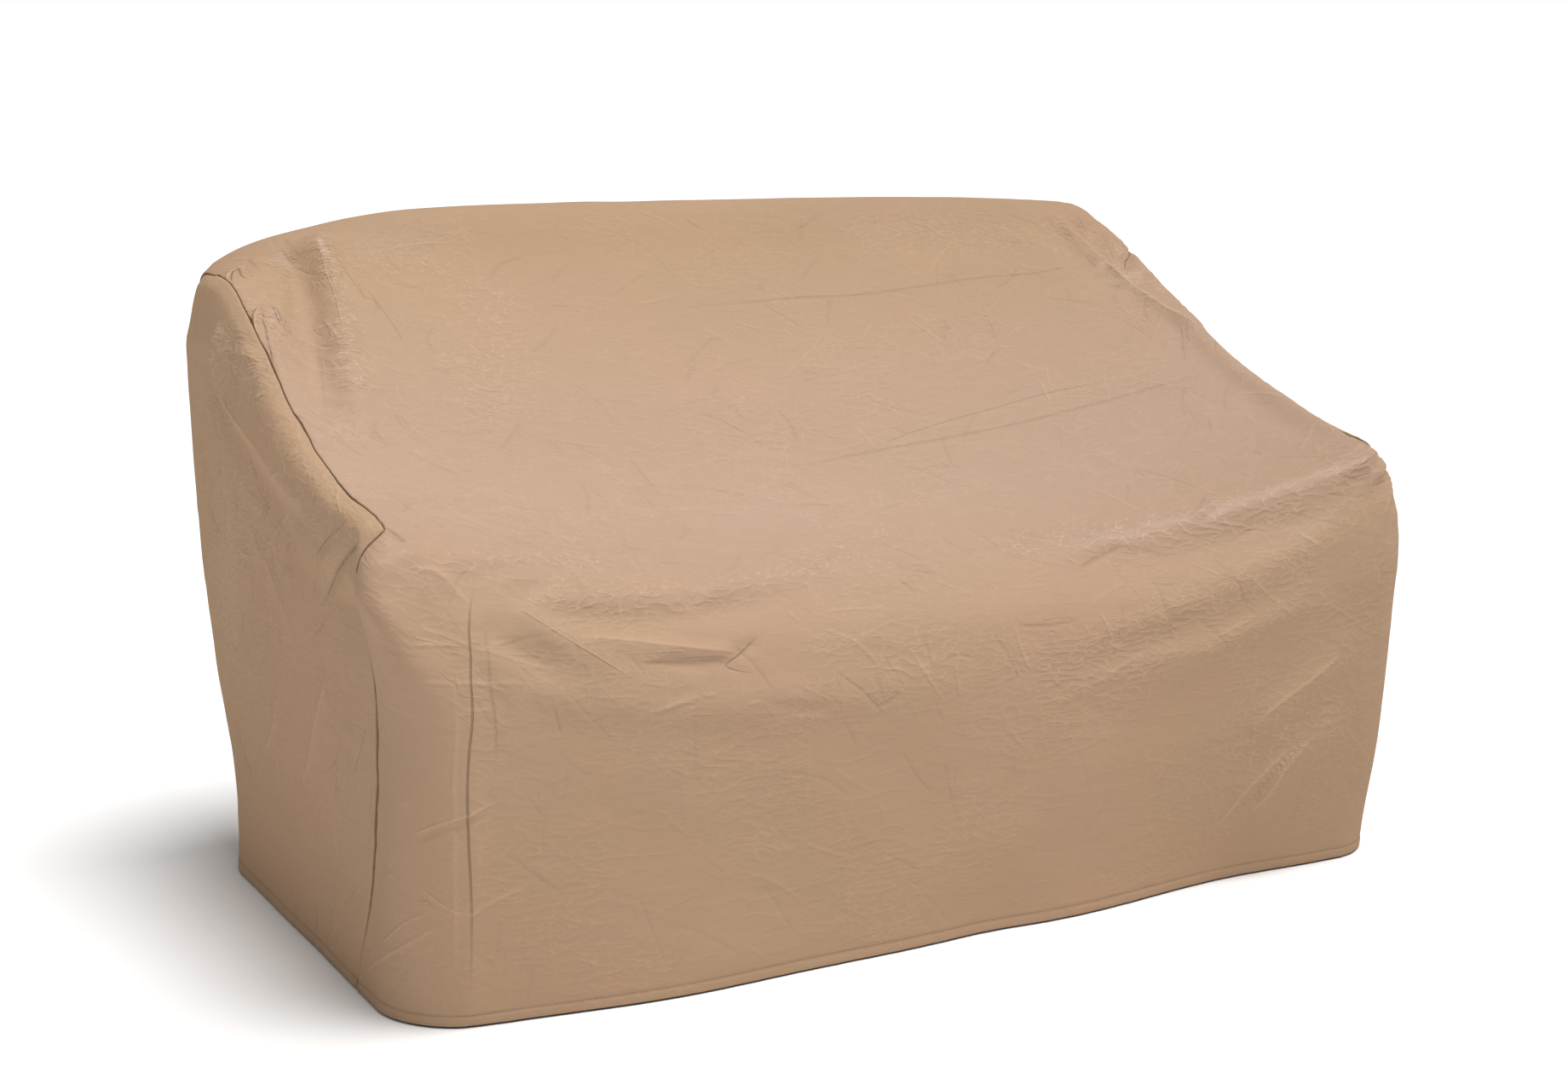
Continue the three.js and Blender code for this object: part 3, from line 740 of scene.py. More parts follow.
# %% Folds of the side panels
LEFT_FOLDS = [
    ("facet edge", [(201, 730), (216, 681), (163, 638), (91, 614), (-43, 572), (-143, 553), (-300, 527)],
     52, 16, 9, 0.1, 0.3),
    ("facet crest", [(201, 730), (216, 681), (163, 638), (91, 614), (-43, 572)], 8, 9, 2, 0.1, 0.4),
    ("under the facet", [(235, 690), (200, 630), (110, 585), (-20, 540), (-150, 515)],
     16, 26, -4, 0.2, 0.4),
    ("facet crinkle", [(206, 690), (150, 697), (111, 698), (72, 689)], 7, 7, 2.5, 0.2, 0.3),
    ("facet hollow", [(170, 712), (130, 720), (90, 722)], 9, 9, -2, 0.3, 0.3),
    ("facet step", [(163, 638), (140, 660), (110, 668)], 8, 8, -2.5, 0.2, 0.4),
    ("side fold a", [(-322, 538), (-277, 511), (-225, 476), (-190, 450)], 10, 13, -5, 0.1, 0.4),
    ("side fold a lip", [(-318, 552), (-270, 527), (-215, 494)], 9, 9, 2.5, 0.2, 0.4),
    ("side fold b", [(-274, 551), (-230, 528), (-184, 500)], 7, 8, -2.5, 0.2, 0.3),
    ("front hang", [(-300, 500), (-330, 360), (-345, 160)], 22, 26, -3, 0.2, 0.5),
    ("front hang 2", [(-250, 470), (-270, 330), (-262, 180)], 16, 18, 2, 0.3, 0.4),
    ("side long 1", [(-190, 370), (-159, 322), (-100, 250), (-39, 194)], 10, 14, 2, 0.3, 0.4),
    ("side long 2", [(40, 290), (65, 244), (126, 185)], 9, 12, 2, 0.3, 0.4),
    ("side long 3", [(262, 220), (235, 180), (184, 149)], 9, 12, -2, 0.3, 0.4),
    ("side middle", [(100, 490), (82, 467), (-13, 420), (-55, 366)], 12, 18, 2.5, 0.3, 0.4),
    ("middle hang", [(-100, 540), (-140, 330), (-150, 120)], 50, 50, 4, 0.3, 0.5),
    ("rear hang", [(80, 560), (60, 330), (30, 100)], 60, 60, -4, 0.3, 0.5),
]
RIGHT_FOLDS = [
    ("shoulder", [(330, 800), (200, 730), (60, 655), (-60, 590)], 30, 30, 7, 0.2, 0.3),
    ("right facet edge", [(190, 700), (120, 650), (0, 615), (-150, 580), (-300, 560)],
     20, 30, 4, 0.2, 0.3),
    ("arm diagonal", [(-150, 440), (-210, 480), (-270, 520)], 16, 20, -5, 0.3, 0.2),
    ("arm crease", [(-160, 505), (-220, 520), (-280, 545)], 8, 8, 2.5, 0.3, 0.2),
    ("right front hang", [(-290, 480), (-320, 300), (-320, 100)], 30, 34, -4, 0.2, 0.5),
    ("right middle hang", [(-90, 520), (-110, 300), (-140, 60)], 60, 50, 5, 0.3, 0.3),
    ("right rear hang", [(100, 560), (70, 330), (60, 80)], 50, 60, -4, 0.3, 0.5),
    ("long diagonal", [(200, 420), (90, 300), (20, 160)], 14, 20, 3, 0.3, 0.4),
]
FOLD_LINES = {row[0]: row[1] for row in MAIN_FOLDS + SMALL_FOLDS + LEFT_FOLDS + RIGHT_FOLDS}
SIDE_SOFT_CREASES = [
    ((0, 0), (800, 800), 230, (80, 100, 60, 10), 0.9),
    ((200, 450), (700, 760), 60, (20, 50, 150), 1.3),
    ((0, 0), (160, 500), 40, (80, 95, 110), 1.2),
]
SEAM_MARGIN = 14  # over this width beside a seam, the folds of a side panel die away
for name, folds, seed in (
    ("left_side_panel", LEFT_FOLDS, 70),
    ("right_side_panel", RIGHT_FOLDS, 80),
):
    panel = PANELS[name]
    soft_creases = scattered(SIDE_SOFT_CREASES, SOFT_LENGTHS, seed)
    places = side_cloth(panel)
    side_lift = fold_lift(folds, side_flat(panel)) + fold_lift(soft_creases, places)
    side_lift += slow_wander(places, (150, 60), (seed + 10, seed + 20))
    ids = panel.ids.ravel()
    free = ~np.isin(ids, main_ids)
    margin = ease(seam_distance[ids], 0, SEAM_MARGIN)
    lift[ids[free]] = (side_lift * margin)[free]
print("side folds:", len(LEFT_FOLDS), "and", len(RIGHT_FOLDS))

# %% [markdown]
# ## Seams and hem
# A seam is a narrow groove with the sheet puffed up beside it, and the thread gathers the sheet
# into little puckers. The hem is turned up and stitched, so it stands a sheet's thickness proud.

# %% Seam and hem relief
GROOVE_DEPTH, GROOVE_WIDTH = 1.2, 1.4
DEEP_AT, DEEP_SPREAD, DEEPER = (-700, -330, 220), (60, 110, 300), 1.8  # the left front seam gapes
TIGHT_AT, TIGHT_SPREAD, TIGHTER = (-690, 400, 800), (60, 110, 70), 0.65  # the left rear one is shut
PUFF_BESIDE, PUFF_AT, PUFF_SPREAD = 0.6, 6, 4
HEM_PROUD, HEM_ROUND = 0.8, (-1, 1.5)  # distances from the hem over which it rises
HEM_BAND, HEM_STEP = 12.6, (12, 13.5)  # and over which it falls again
STITCH_SINK, STITCH_SPREAD = 0.7, 1.3
PUCKER_HEIGHT, PUCKER_REACH, PUCKER_SIZE = 0.6, 14, 13
GATHER_HEIGHT, GATHER_REACH = 0.35, 9
WOBBLE, WOBBLE_REACH, WOBBLE_SIZE = 1.2, 14, 42
WOBBLE_HEM = (0, 20)  # distances from the hem over which the wobble starts
LIFT_HEM = (-40, 25)  # and the folds

deep = DEEPER * np.prod(hump(skin - DEEP_AT, DEEP_SPREAD), axis=1)
deep -= TIGHTER * np.prod(hump(skin - TIGHT_AT, TIGHT_SPREAD), axis=1)
relief = -GROOVE_DEPTH * (1 + deep) * hump(seam_distance, GROOVE_WIDTH * (1 + deep))
relief += PUFF_BESIDE * hump(seam_distance - PUFF_AT, PUFF_SPREAD)
relief += HEM_PROUD * (1 - ease(hem_distance, *HEM_STEP)) * ease(hem_distance, *HEM_ROUND)
relief -= STITCH_SINK * hump(hem_distance - HEM_BAND, STITCH_SPREAD)

station = np.stack([skin[:, 2] + skin[:, 1], skin[:, 1] - skin[:, 2]], -1)
wobble = np.stack([wander(station, WOBBLE_SIZE, seed) for seed in (34, 35, 36)], -1)
share = np.exp(-seam_distance / WOBBLE_REACH) * ease(hem_distance, *WOBBLE_HEM)
skin += WOBBLE * wobble * share[:, None]
pucker = wander(station, PUCKER_SIZE, 31) + 0.6 * wander(station, PUCKER_SIZE / 2, 32)
relief += PUCKER_HEIGHT * pucker * np.exp(-seam_distance / PUCKER_REACH)
gather = wander(np.stack([skin[:, 0] + 3 * skin[:, 1], 0 * skin[:, 2]], -1), PUCKER_SIZE, 33)
relief += GATHER_HEIGHT * gather * np.exp(-np.maximum(hem_distance - HEM_BAND, 0) / GATHER_REACH)

lift *= ease(hem_distance, *LIFT_HEM)
normals = skin_normals(skin)
skin += normals * (lift + relief)[:, None]
skin[:, 2] = np.where(hem_distance <= 0, 0, np.maximum(skin[:, 2], 0))
skin_out = skin_normals(skin)
print("relief from", round(relief.min(), 2), "to", round(relief.max(), 2), "mm")

# %% [markdown]
# ## Crisp creases
# Where the cover lay folded it kept creases of one to three millimetres, finer than the grid. They
# are not shaped but told: each point knows how far it is from the nearest crease line, with a sign
# for the side, and how high that crease is. The material draws the crease from these two numbers.
# Creases that cross or lie close stand in different channels.

# %% Crease channels
CREASE_REACH = 14
CREASE_CHANNELS = 5
CREASE_EDGE = 6  # over this width at its reach a crease fades out
CREASE_FADE = 0.2  # and over this share of its length at each end


def line_of(told):
    """The smooth line through told points, or that of the fold whose name is told."""
    return smooth_line(FOLD_LINES[told] if isinstance(told, str) else told)


def crease_channels(rows, places):
    """For each channel, the signed distance to the nearest crease and the height of that one."""
    found = np.zeros((CREASE_CHANNELS, len(places), 2))
    nearest = np.full((CREASE_CHANNELS, len(places)), float(CREASE_REACH))
    for channel, height, points in rows:
        line = line_of(points)
        close = near(line, places, CREASE_REACH)
        distance, along, side = beside(line, places[close])
        closer = distance < nearest[channel, close]
        picked, distance = close[closer], distance[closer]
        nearest[channel, picked] = distance
        fade = fades(along[closer], CREASE_FADE, CREASE_FADE)
        fade *= ease(CREASE_REACH - distance, 0, CREASE_EDGE)
        found[channel, picked, 0] = side[closer] * distance
        found[channel, picked, 1] = height * fade
    return found


def crisp(rows):
    """Scattered creases as rows of the crease tables, in channels 2 and 3."""
    return [(2 + k % 2, row[4], row[1]) for k, row in enumerate(rows)]


# %% Crease tables
MAIN_CREASES = [  # channel, height, line in flat coordinates or the fold with the same line
    (0, -0.9, [(-156, 1146), (85, 1131), (198, 1138), (313, 1138), (413, 1137), (514, 1148), (633, 1148)]),
    (0, -0.9, [(-83, 1463), (55, 1445), (162, 1445), (416, 1454), (535, 1458), (669, 1471)]),
    (1, -0.7, [(66, 1440), (196, 1417), (332, 1408), (420, 1408), (520, 1420)]),
    (1, -1.9, [(-560, 1760), (-554, 1826), (-563, 1889), (-571, 1945), (-563, 2022), (-528, 2190)]),
    (0, 0.8, [(-576, 1850), (-584, 1940), (-580, 1990), (-568, 2073), (-544, 2170)]),
    (4, -0.8, [(-534, 1805), (-539, 1863), (-543, 1945)]),
    (0, 0.8, [(-618, 1838), (-571, 1828), (-540, 1823)]),
    (0, 0.8, [(-613, 1874), (-558, 1866), (-505, 1859)]),
    (0, 0.7, [(-580, 1894), (-540, 1891)]),
    (4, 1.6, [(-622, 2012), (-590, 1996), (-572, 1991), (-540, 1978)]),
    (0, -0.8, [(-616, 2018), (-590, 2004), (-572, 1999), (-548, 1988)]),
    (4, 1.4, [(-604, 2058), (-571, 2078), (-542, 2085)]),
    (0, 1.2, [(-556, 2088), (-533, 2075), (-500, 2063)]),
    (0, 0.8, [(-676, 2180), (-614, 2127), (-578, 2095)]),
    (4, 0.6, [(-648, 2137), (-618, 2101), (-590, 2081)]),
    (0, 0.8, [(-604, 1816), (-580, 1820), (-558, 1827), (-533, 1825), (-506, 1811)]),
    (0, 1.4, "right diagonal 1"),
    (0, 1.3, "right diagonal 2"),
    (0, 1.2, "right diagonal 3"),
    (0, -0.95, [(290, 1738), (243, 1748), (202, 1761)]),
    (0, -0.95, [(456, 1717), (433, 1724), (411, 1735)]),
    (0, 0.76, [(590, 2030), (610, 2012), (629, 1985)]),
    (0, 0.95, [(622, 962), (633, 1053), (635, 1142), (648, 1231), (658, 1278), (669, 1328), (690, 1402)]),
    (1, -1.6, [(690, 1129), (682, 1150), (664, 1167), (652, 1190)]),
    (0, -1.71, [(-690, 1717), (-675, 1726), (-660, 1733)]),
    (0, 3, [(-690, 1216), (-686, 1180), (-674, 1152), (-662, 1140)]),
    (4, 2.8, [(-670, 1134), (-658, 1148), (-655, 1172), (-646, 1204)]),
    (1, -1.6, [(-690, 1290), (-684, 1245), (-676, 1200), (-670, 1160)]),
    (1, 0.95, [(-666, 1205), (-684, 1278)]),
    (1, -1.9, [(-690, 1066), (-676, 1000), (-664, 976), (-667, 1022), (-662, 1046)]),
    (0, 1.4, [(-690, 1040), (-680, 990), (-666, 962), (-655, 985)]),
    (1, 1, [(-541, 975), (-530, 1036), (-526, 1086), (-524, 1130)]),
    (1, 1, [(-513, 1080), (-509, 1135), (-503, 1190), (-502, 1230)]),
    (1, 0.8, [(-472, 990), (-462, 1020), (-454, 1050)]),
    (1, 0.76, [(-552, 954), (-560, 1086), (-577, 1207)]),
    (0, -0.4, [(-605, 1183), (-631, 1309), (-655, 1420)]),
    (0, 0.66, [(15, 1291), (43, 1268), (92, 1235)]),
    (0, 0.76, [(175, 1225), (200, 1200)]),
    (0, 0.57, [(85, 1391), (94, 1432)]),
    (0, 0.95, [(394, 1385), (386, 1425)]),
    (0, 0.76, [(420, 1350), (405, 1388)]),
    (1, 0.57, [(379, 1066), (350, 1120), (332, 1160)]),
    (0, 0.66, [(343, 1105), (375, 1071), (424, 1029)]),
    (0, 1.04, "sharp fold"),
    (0, -1.04, [(-377, 1833), (-320, 1834), (-277, 1832)]),
    (1, -1.04, [(-234, 1807), (-256, 1826), (-277, 1840), (-250, 1850)]),
    (0, 0.85, [(-622, 1752), (-588, 1766), (-552, 1788)]),
    (1, 0.9, [(-516, 1774), (-475, 1797), (-430, 1822), (-385, 1848)]),
    (1, 0.95, [(684, 1752), (640, 1746), (600, 1756)]),
    (0, 0.95, [(684, 1780), (650, 1792), (604, 1820)]),
    (0, -0.9, [(-620, 520), (-200, 512), (180, 515), (610, 508)]),
    (1, -0.8, [(-600, 250), (-100, 258), (320, 250), (600, 256)]),
    (0, 0.8, [(-470, 660), (-430, 600), (-410, 540)]),
    (1, 0.8, [(480, 690), (450, 610), (440, 550)]),
]
LEFT_CREASES = [  # the same, but the lines are told by Y and height
    (0, 0.95, "facet crest"),
    (1, 0.95, "facet crinkle"),
    (0, -1.33, [(-326, 541), (-277, 511), (-225, 476), (-195, 452)]),
    (1, -0.95, [(-280, 554), (-230, 528), (-184, 500)]),
    (0, 0.76, "side long 1"),
    (0, 0.76, "side long 2"),
    (0, -0.76, "side long 3"),
    (0, 0.66, [(82, 467), (-13, 420), (-55, 366)]),
    (1, 0.66, [(-151, 600), (-200, 575), (-257, 556)]),
]
RIGHT_CREASES = [
    (0, 0.76, [(190, 700), (120, 650), (0, 615), (-150, 580)]),
    (1, -0.95, "arm diagonal"),
    (0, 0.76, "long diagonal"),
]
CRISP_SCATTER = [  # as for the soft creases
    ((-690, 0), (690, 1000), 180, (35, 55, 5, 130, 90), 0.4),
    ((-690, 950), (690, 1700), 330, (35, 50, -8, 125, 140), 0.75),
    ((-690, 1720), (690, 2198), 230, (35, 55, 5, 130, 90), 0.38),
    ((-690, 930), (-530, 1480), 90, (75, 95, 50), 0.9),
    ((600, 930), (690, 1420), 50, (75, 100, 130), 0.9),
    ((-640, 1640), (690, 1900), 150, (0, 15, -12, 50, 75), 0.85),
]
SIDE_CRISP_SCATTER = [
    ((0, 0), (800, 800), 230, (80, 100, 60, 120), 0.75),
    ((200, 450), (700, 760), 70, (20, 60, 100, 150), 0.9),
]
CRISP_LENGTHS = (12, 95)
PANELS["main_panel"].creases = crease_channels(
    MAIN_CREASES + crisp(scattered(CRISP_SCATTER, CRISP_LENGTHS, seed=40)), main_places
)
for name, rows, seed in (
    ("left_side_panel", LEFT_CREASES, 50),
    ("right_side_panel", RIGHT_CREASES, 60),
):
    panel = PANELS[name]
    told = crease_channels(rows, side_flat(panel))
    chance = crisp(scattered(SIDE_CRISP_SCATTER, CRISP_LENGTHS, seed))
    panel.creases = told + crease_channels(chance, side_cloth(panel))
print("told creases:", len(MAIN_CREASES), len(LEFT_CREASES), len(RIGHT_CREASES))

# %% [markdown]
# The film crinkles most, and is glossiest, where the sheet was pulled or worn: along the folds
# at the edge of the seat, in the corners and on the ridges. A table of stretches says where. Another
# table gives along the girth the long panel's painted sheen, which also adds crumple and coat, and its
# painted shade.

# %% Crinkled stretches
MAIN_CRINKLES = [  # strength, width, line
    (0.8, 24, [(162, 1705), (315, 1722), (496, 1741), (640, 1745)]),
    (0.5, 22, [(115, 1892), (322, 1835), (479, 1814), (600, 1790)]),
    (0.35, 20, [(121, 1920), (337, 1898), (494, 1863)]),
    (0.7, 22, [(-480, 1757), (-307, 1752), (-124, 1692), (-10, 1640)]),
    (0.7, 20, [(-620, 1752), (-539, 1710), (-421, 1690)]),
    (1.3, 18, [(-548, 940), (-556, 1086), (-573, 1207), (-596, 1330)]),
    (0.8, 20, "left crinkle band"),
    (0.7, 30, [(-669, 1000), (-672, 1200)]),
    (0.7, 34, [(655, 1120), (660, 1230)]),
    (0.5, 60, [(300, 1010), (480, 1030), (600, 1060)]),
    (0.4, 60, [(-500, 1010), (-350, 1100), (-420, 1300)]),
    (0.25, 34, [(-660, 1760), (-560, 1840), (-560, 2000)]),
    (0.25, 40, [(-150, 1830), (-60, 1850), (60, 1850)]),
    (0.4, 50, [(420, 2020), (520, 1950), (600, 1880)]),
]
LEFT_CRINKLES = [
    (0.9, 34, [(190, 700), (120, 690), (60, 670)]),
    (0.5, 50, [(-40, 620), (-180, 590), (-290, 560)]),
    (0.4, 60, [(200, 500), (230, 350)]),
]
RIGHT_CRINKLES = [
    (0.7, 40, [(180, 680), (60, 640), (-100, 600)]),
    (0.4, 60, [(100, 400), (60, 250)]),
]
SHEEN_AND_SHADE = np.array([  # girth, painted sheen (which also adds crumple and coat) and painted shade; the slope has the most sheen
    (0, 0.1, 0.05),
    (800, 0.15, 0.03),
    (900, 0.3, 0.08),
    (1000, 0.15, 0.04),
    (1150, 0.4, 0.02),
    (1300, 0.7, 0),
    (1550, 1, 0),
    (1700, 0.8, 0.03),
    (1800, 0.3, 0.03),
    (2000, 0.15, 0.02),
    (2198, 0.1, 0.05),
])
RIGHT_PAINTED_SHADE, RIGHT_SHADE_FROM_MIDDLE = 0.05, 600  # painted shade: the right end is darker, in full from here on
# the side panels get a little painted sheen all over, and no painted shade
SIDE_SHEEN_AND_RUB = 0.1


def crinkled(rows, places):
    """How crinkled each place is: 0 where not at all, and about 1 on a stretch."""
    most = np.zeros(len(places))
    for strength, width, points in rows:
        distance = beside(line_of(points), places)[0]
        most = np.maximum(most, strength * hump(distance, width))
    return most


panel = PANELS["main_panel"]
panel.crinkle = crinkled(MAIN_CRINKLES, main_places)
# painted sheen and painted shade along the girth, with more painted shade at the right end
panel.rubbed, panel.soiled = (np.interp(main_places[:, 1], SHEEN_AND_SHADE[:, 0], SHEEN_AND_SHADE[:, k]) for k in (1, 2))
panel.soiled += RIGHT_PAINTED_SHADE * ease(main_places[:, 0], 0, RIGHT_SHADE_FROM_MIDDLE)
for name, rows in (("left_side_panel", LEFT_CRINKLES), ("right_side_panel", RIGHT_CRINKLES)):
    panel = PANELS[name]
    panel.crinkle = crinkled(rows, side_flat(panel))
    panel.rubbed = np.full(panel.ids.size, SIDE_SHEEN_AND_RUB)
    panel.soiled = np.zeros(panel.ids.size)
print("crinkled stretches:", len(MAIN_CRINKLES) + len(LEFT_CRINKLES) + len(RIGHT_CRINKLES))

# %% [markdown]
# ## Cutting the pieces
# Now the skin is cut along its seams. Each panel becomes a closed thin sheet: the fine outer face,
# an inner face with every second grid line, and the narrow rim between them.

# %% Panels as meshes
SHEET = 1.5
HALF_GAP = 0.25
SHARP_ANGLE = 70
FLAT_SHIFT = 3.0  # metres between the panels in flat coordinates, so that no two look the same


def own_points(panel):
    """The panel's own copy of its points, drawn back from the seams by half the gap."""
    points = skin[panel.ids].copy()
    inner = points.copy()
    inner[:, 0], inner[:, -1] = points[:, 1], points[:, -2]
    if panel.ids is not main_ids:
        inner[-1] = points[-2]
    back = inner - points
    size = np.linalg.norm(back, axis=2, keepdims=True)
    return points + HALF_GAP * back / np.maximum(size, 1e-6)


def sheet_faces(rows, cols):
    """Faces of a closed sheet: outer grid, coarser inner grid and the rim between them."""
    outer = np.arange(rows * cols).reshape(rows, cols)
    inner_shape = outer[::2, ::2].shape
    inner = rows * cols + np.arange(inner_shape[0] * inner_shape[1]).reshape(inner_shape)
    faces = [*grid_quads(outer, 1).tolist(), *grid_quads(inner, -1).tolist()]
    borders = (
        (outer[:, 0], inner[:, 0]),
        (outer[-1], inner[-1]),
        (outer[::-1, -1], inner[::-1, -1]),
        (outer[0, ::-1], inner[0, ::-1]),
    )
    for fine, coarse in borders:
        for k in range(len(coarse) - 1):
            a, b, c = fine[2 * k : 2 * k + 3].tolist()
            p, q = int(coarse[k]), int(coarse[k + 1])
            faces += [[b, a, p], [b, p, q], [c, b, q]]
    return faces


def panel_mesh(name, panel):
    """The closed sheet of a panel, with all that the material needs to know as attributes."""
    outer = own_points(panel)
    inner = (outer - SHEET * skin_out[panel.ids])[::2, ::2]
    points = np.concatenate([outer.reshape(-1, 3), inner.reshape(-1, 3)])
    points = (points + CENTRED) * MM
    faces = sheet_faces(*panel.ids.shape)
    if panel.turn < 0:
        faces = [face[::-1] for face in faces]
    mesh = bpy.data.meshes.new(name)
    mesh.from_pydata(points.tolist(), [], faces)
    mesh.shade_smooth()
    mesh.set_sharp_from_angle(angle=math.radians(SHARP_ANGLE))
    flat = main_flat if panel.ids is main_ids else side_cloth(panel).reshape(*panel.ids.shape, 2)
    values = {
        "seam": seam_distance[panel.ids] * MM,
        "hem": hem_distance[panel.ids] * MM,
        "deep": deep[panel.ids],
        "crinkle": panel.crinkle,
        "rubbed": panel.rubbed,
        "soiled": panel.soiled,
    }
    for key, value in values.items():
        value = value.reshape(panel.ids.shape)
        both = np.r_[value.ravel(), value[::2, ::2].ravel()]
        mesh.attributes.new(key, "FLOAT", "POINT").data.foreach_set("value", both.astype(np.float32))
    for k, channel in enumerate(panel.creases):
        value = np.zeros((len(points), 3), np.float32)
        value[: len(channel), :2] = channel * MM
        stored = mesh.attributes.new(f"crease {k}", "FLOAT_VECTOR", "POINT")
        stored.data.foreach_set("vector", value.ravel())
    flat = np.concatenate([flat.reshape(-1, 2), flat[::2, ::2].reshape(-1, 2)]) * MM
    corner = np.zeros(len(mesh.loops), np.int32)
    mesh.loops.foreach_get("vertex_index", corner)
    shift = list(PANELS).index(name) * FLAT_SHIFT
    uv = mesh.uv_layers.new(name="flat")
    uv.data.foreach_set("uv", (flat[corner] + (shift, 0)).astype(np.float32).ravel())
    return placed(name + "_cloth", mesh)


cloth = {}
for name, panel in PANELS.items():
    cloth[name] = panel_mesh(name, panel)

# %% [markdown]
# ## A way to write shaders
# Shader maths reads best as plain sums and products. This class wraps the output of a node, adds
# Math nodes for the operators, and makes any other node with one method.

# %% Shader helper
class Signal:
    """One output of a shader node. Arithmetic on it adds Math nodes."""

    def __init__(self, tree, socket):
        self.tree = tree
        self.socket = socket

    def node(self, kind, settings, sockets, output=0):
        """A new node of a kind: its settings first, then the values or links of its sockets."""
        made = self.tree.nodes.new(kind)
        for key, value in settings.items():
            if key == "stops":
                set_stops(made.color_ramp, value)
            else:
                setattr(made, key, value)
        for key, value in sockets.items():
            if isinstance(value, Signal):
                self.tree.links.new(value.socket, made.inputs[key])
            else:
                made.inputs[key].default_value = value
        return Signal(self.tree, made.outputs[output])

    def math(self, operation, *values):
        return self.node("ShaderNodeMath", {"operation": operation}, dict(enumerate(values)))

    def mixed(self, share, first, second):
        """The mix of two colours by a share."""
        sockets = {0: share, 6: first, 7: second}
        return self.node("ShaderNodeMix", {"data_type": "RGBA"}, sockets, output=2)

    def bump(self, height):
        """The normals of a surface with this height, in metres."""
        return self.node("ShaderNodeBump", {}, {"Height": height, "Strength": 1, "Distance": 1})

    def feed(self, shader, name):
        self.tree.links.new(self.socket, shader.inputs[name])


def operator(operation, turned=False):
    """A method of Signal for an arithmetic sign. Turned, it takes its two values the other way."""
    def method(self, other):
        return self.math(operation, *((other, self) if turned else (self, other)))
    return method


for sign, operation in {
    "add": "ADD", "sub": "SUBTRACT", "mul": "MULTIPLY", "truediv": "DIVIDE",
}.items():
    setattr(Signal, f"__{sign}__", operator(operation))
    setattr(Signal, f"__r{sign}__", operator(operation, turned=True))


def set_stops(ramp, stops):
    """Gives a colour ramp its stops, as pairs of place and colour."""
    while len(ramp.elements) < len(stops):
        ramp.elements.new(1)
    for element, (place, colour) in zip(ramp.elements, stops):
        element.position = place
        element.color = colour


def new_finish(name):
    """An empty material, its root signal and its shader."""
    finish = bpy.data.materials.new(name)
    finish.use_nodes = True
    tree = finish.node_tree
    shader = tree.nodes["Principled BSDF"]
    return finish, Signal(tree, None), shader


print("shader helper ready")

# %% [markdown]
# ## The vinyl
# The sheet is tan vinyl on a thin backing, satin rather than shiny. Its bump has a net of weak
# creases from packing, thin winding lines, a soft swell, a crumple like that of thin film, which
# is strongest in the crinkled stretches, and the crisp creases told above. Raised creases, lines
# and crumple are painted paler as painted highlights, sunken creases darker as painted shade. The
# tan drifts a little towards pink and grey, has painted sheen on the slope and painted shade along
# the girth, a brown line of painted shade and dirt in the seams, and a darker hem stitch line.

# %% Vinyl
TAN = (0.455, 0.298, 0.187, 1)
ROSY_TAN = (0.462, 0.296, 0.190, 1)
GREY_TAN = (0.446, 0.297, 0.186, 1)
# the paler tan of the painted sheen on the slope
PAINTED_SHEEN_TAN = (0.455, 0.334, 0.266, 1)
# Painted shade and dirt: a brown line in the seam grooves, wider where a seam gapes, and a fainter brown
# line along the sunken hem stitching
SEAM_SHADE_BROWN = (0.19, 0.11, 0.062, 1)
SEAM_SHADE_WIDTH, MOST_SEAM_SHADE = 0.0012, 0.85
STITCH_DARK_AT, STITCH_DARK_WIDTH, STITCH_DARK_SHARE = 0.0128, 0.0011, 0.35
CREASE_WIDTHS = (0.0028, 0.001, 0.0028, 0.0024, 0.0018)  # of the channels
NET_HEIGHT, LINE_HEIGHT, FILM_HEIGHT, SWELL_HEIGHT = 0.0004, 0.0006, 0.0007, 0.0008
TOLD_PAINTED_LIGHT, CHANCE_PAINTED_LIGHT = 90, 60  # painted highlight and shade: how much paler a crease is painted for each metre that it stands proud, and darker for each metre that it sinks
# painted highlights: how much paler the crumple's ridges and the winding lines are painted
PAINTED_GLINT_LIGHT, PAINTED_LINE_LIGHT = 0.2, 0.03
ROUGHNESS, ROUGHNESS_DRIFT, CRINKLE_SMOOTH = 0.42, 0.12, 0.08
RUBBED_COAT, CRINKLE_COAT, COAT_ROUGHNESS = 0.08, 0.16, 0.32


def flat_vector(root, turn=0, stretch=(1, 1, 1)):
    """Flat cloth coordinates in metres, turned and stretched."""
    place = root.node("ShaderNodeUVMap", {"uv_map": "flat"}, {})
    sockets = {"Vector": place, "Rotation": (0, 0, math.radians(turn)), "Scale": stretch}
    return root.node("ShaderNodeMapping", {}, sockets)


def noise(root, vector, scale, detail=2, roughness=0.5):
    sockets = {"Vector": vector, "Scale": scale, "Detail": detail, "Roughness": roughness}
    return root.node("ShaderNodeTexNoise", {"noise_dimensions": "2D"}, sockets)


def crumple(root, vector, scale, detail):
    """Sharp ridges between smooth hollows, as in crumpled film."""
    settings = {"noise_dimensions": "2D", "noise_type": "RIDGED_MULTIFRACTAL"}
    sockets = {"Vector": vector, "Scale": scale, "Detail": detail, "Offset": 1}
    return root.node("ShaderNodeTexNoise", settings, sockets)


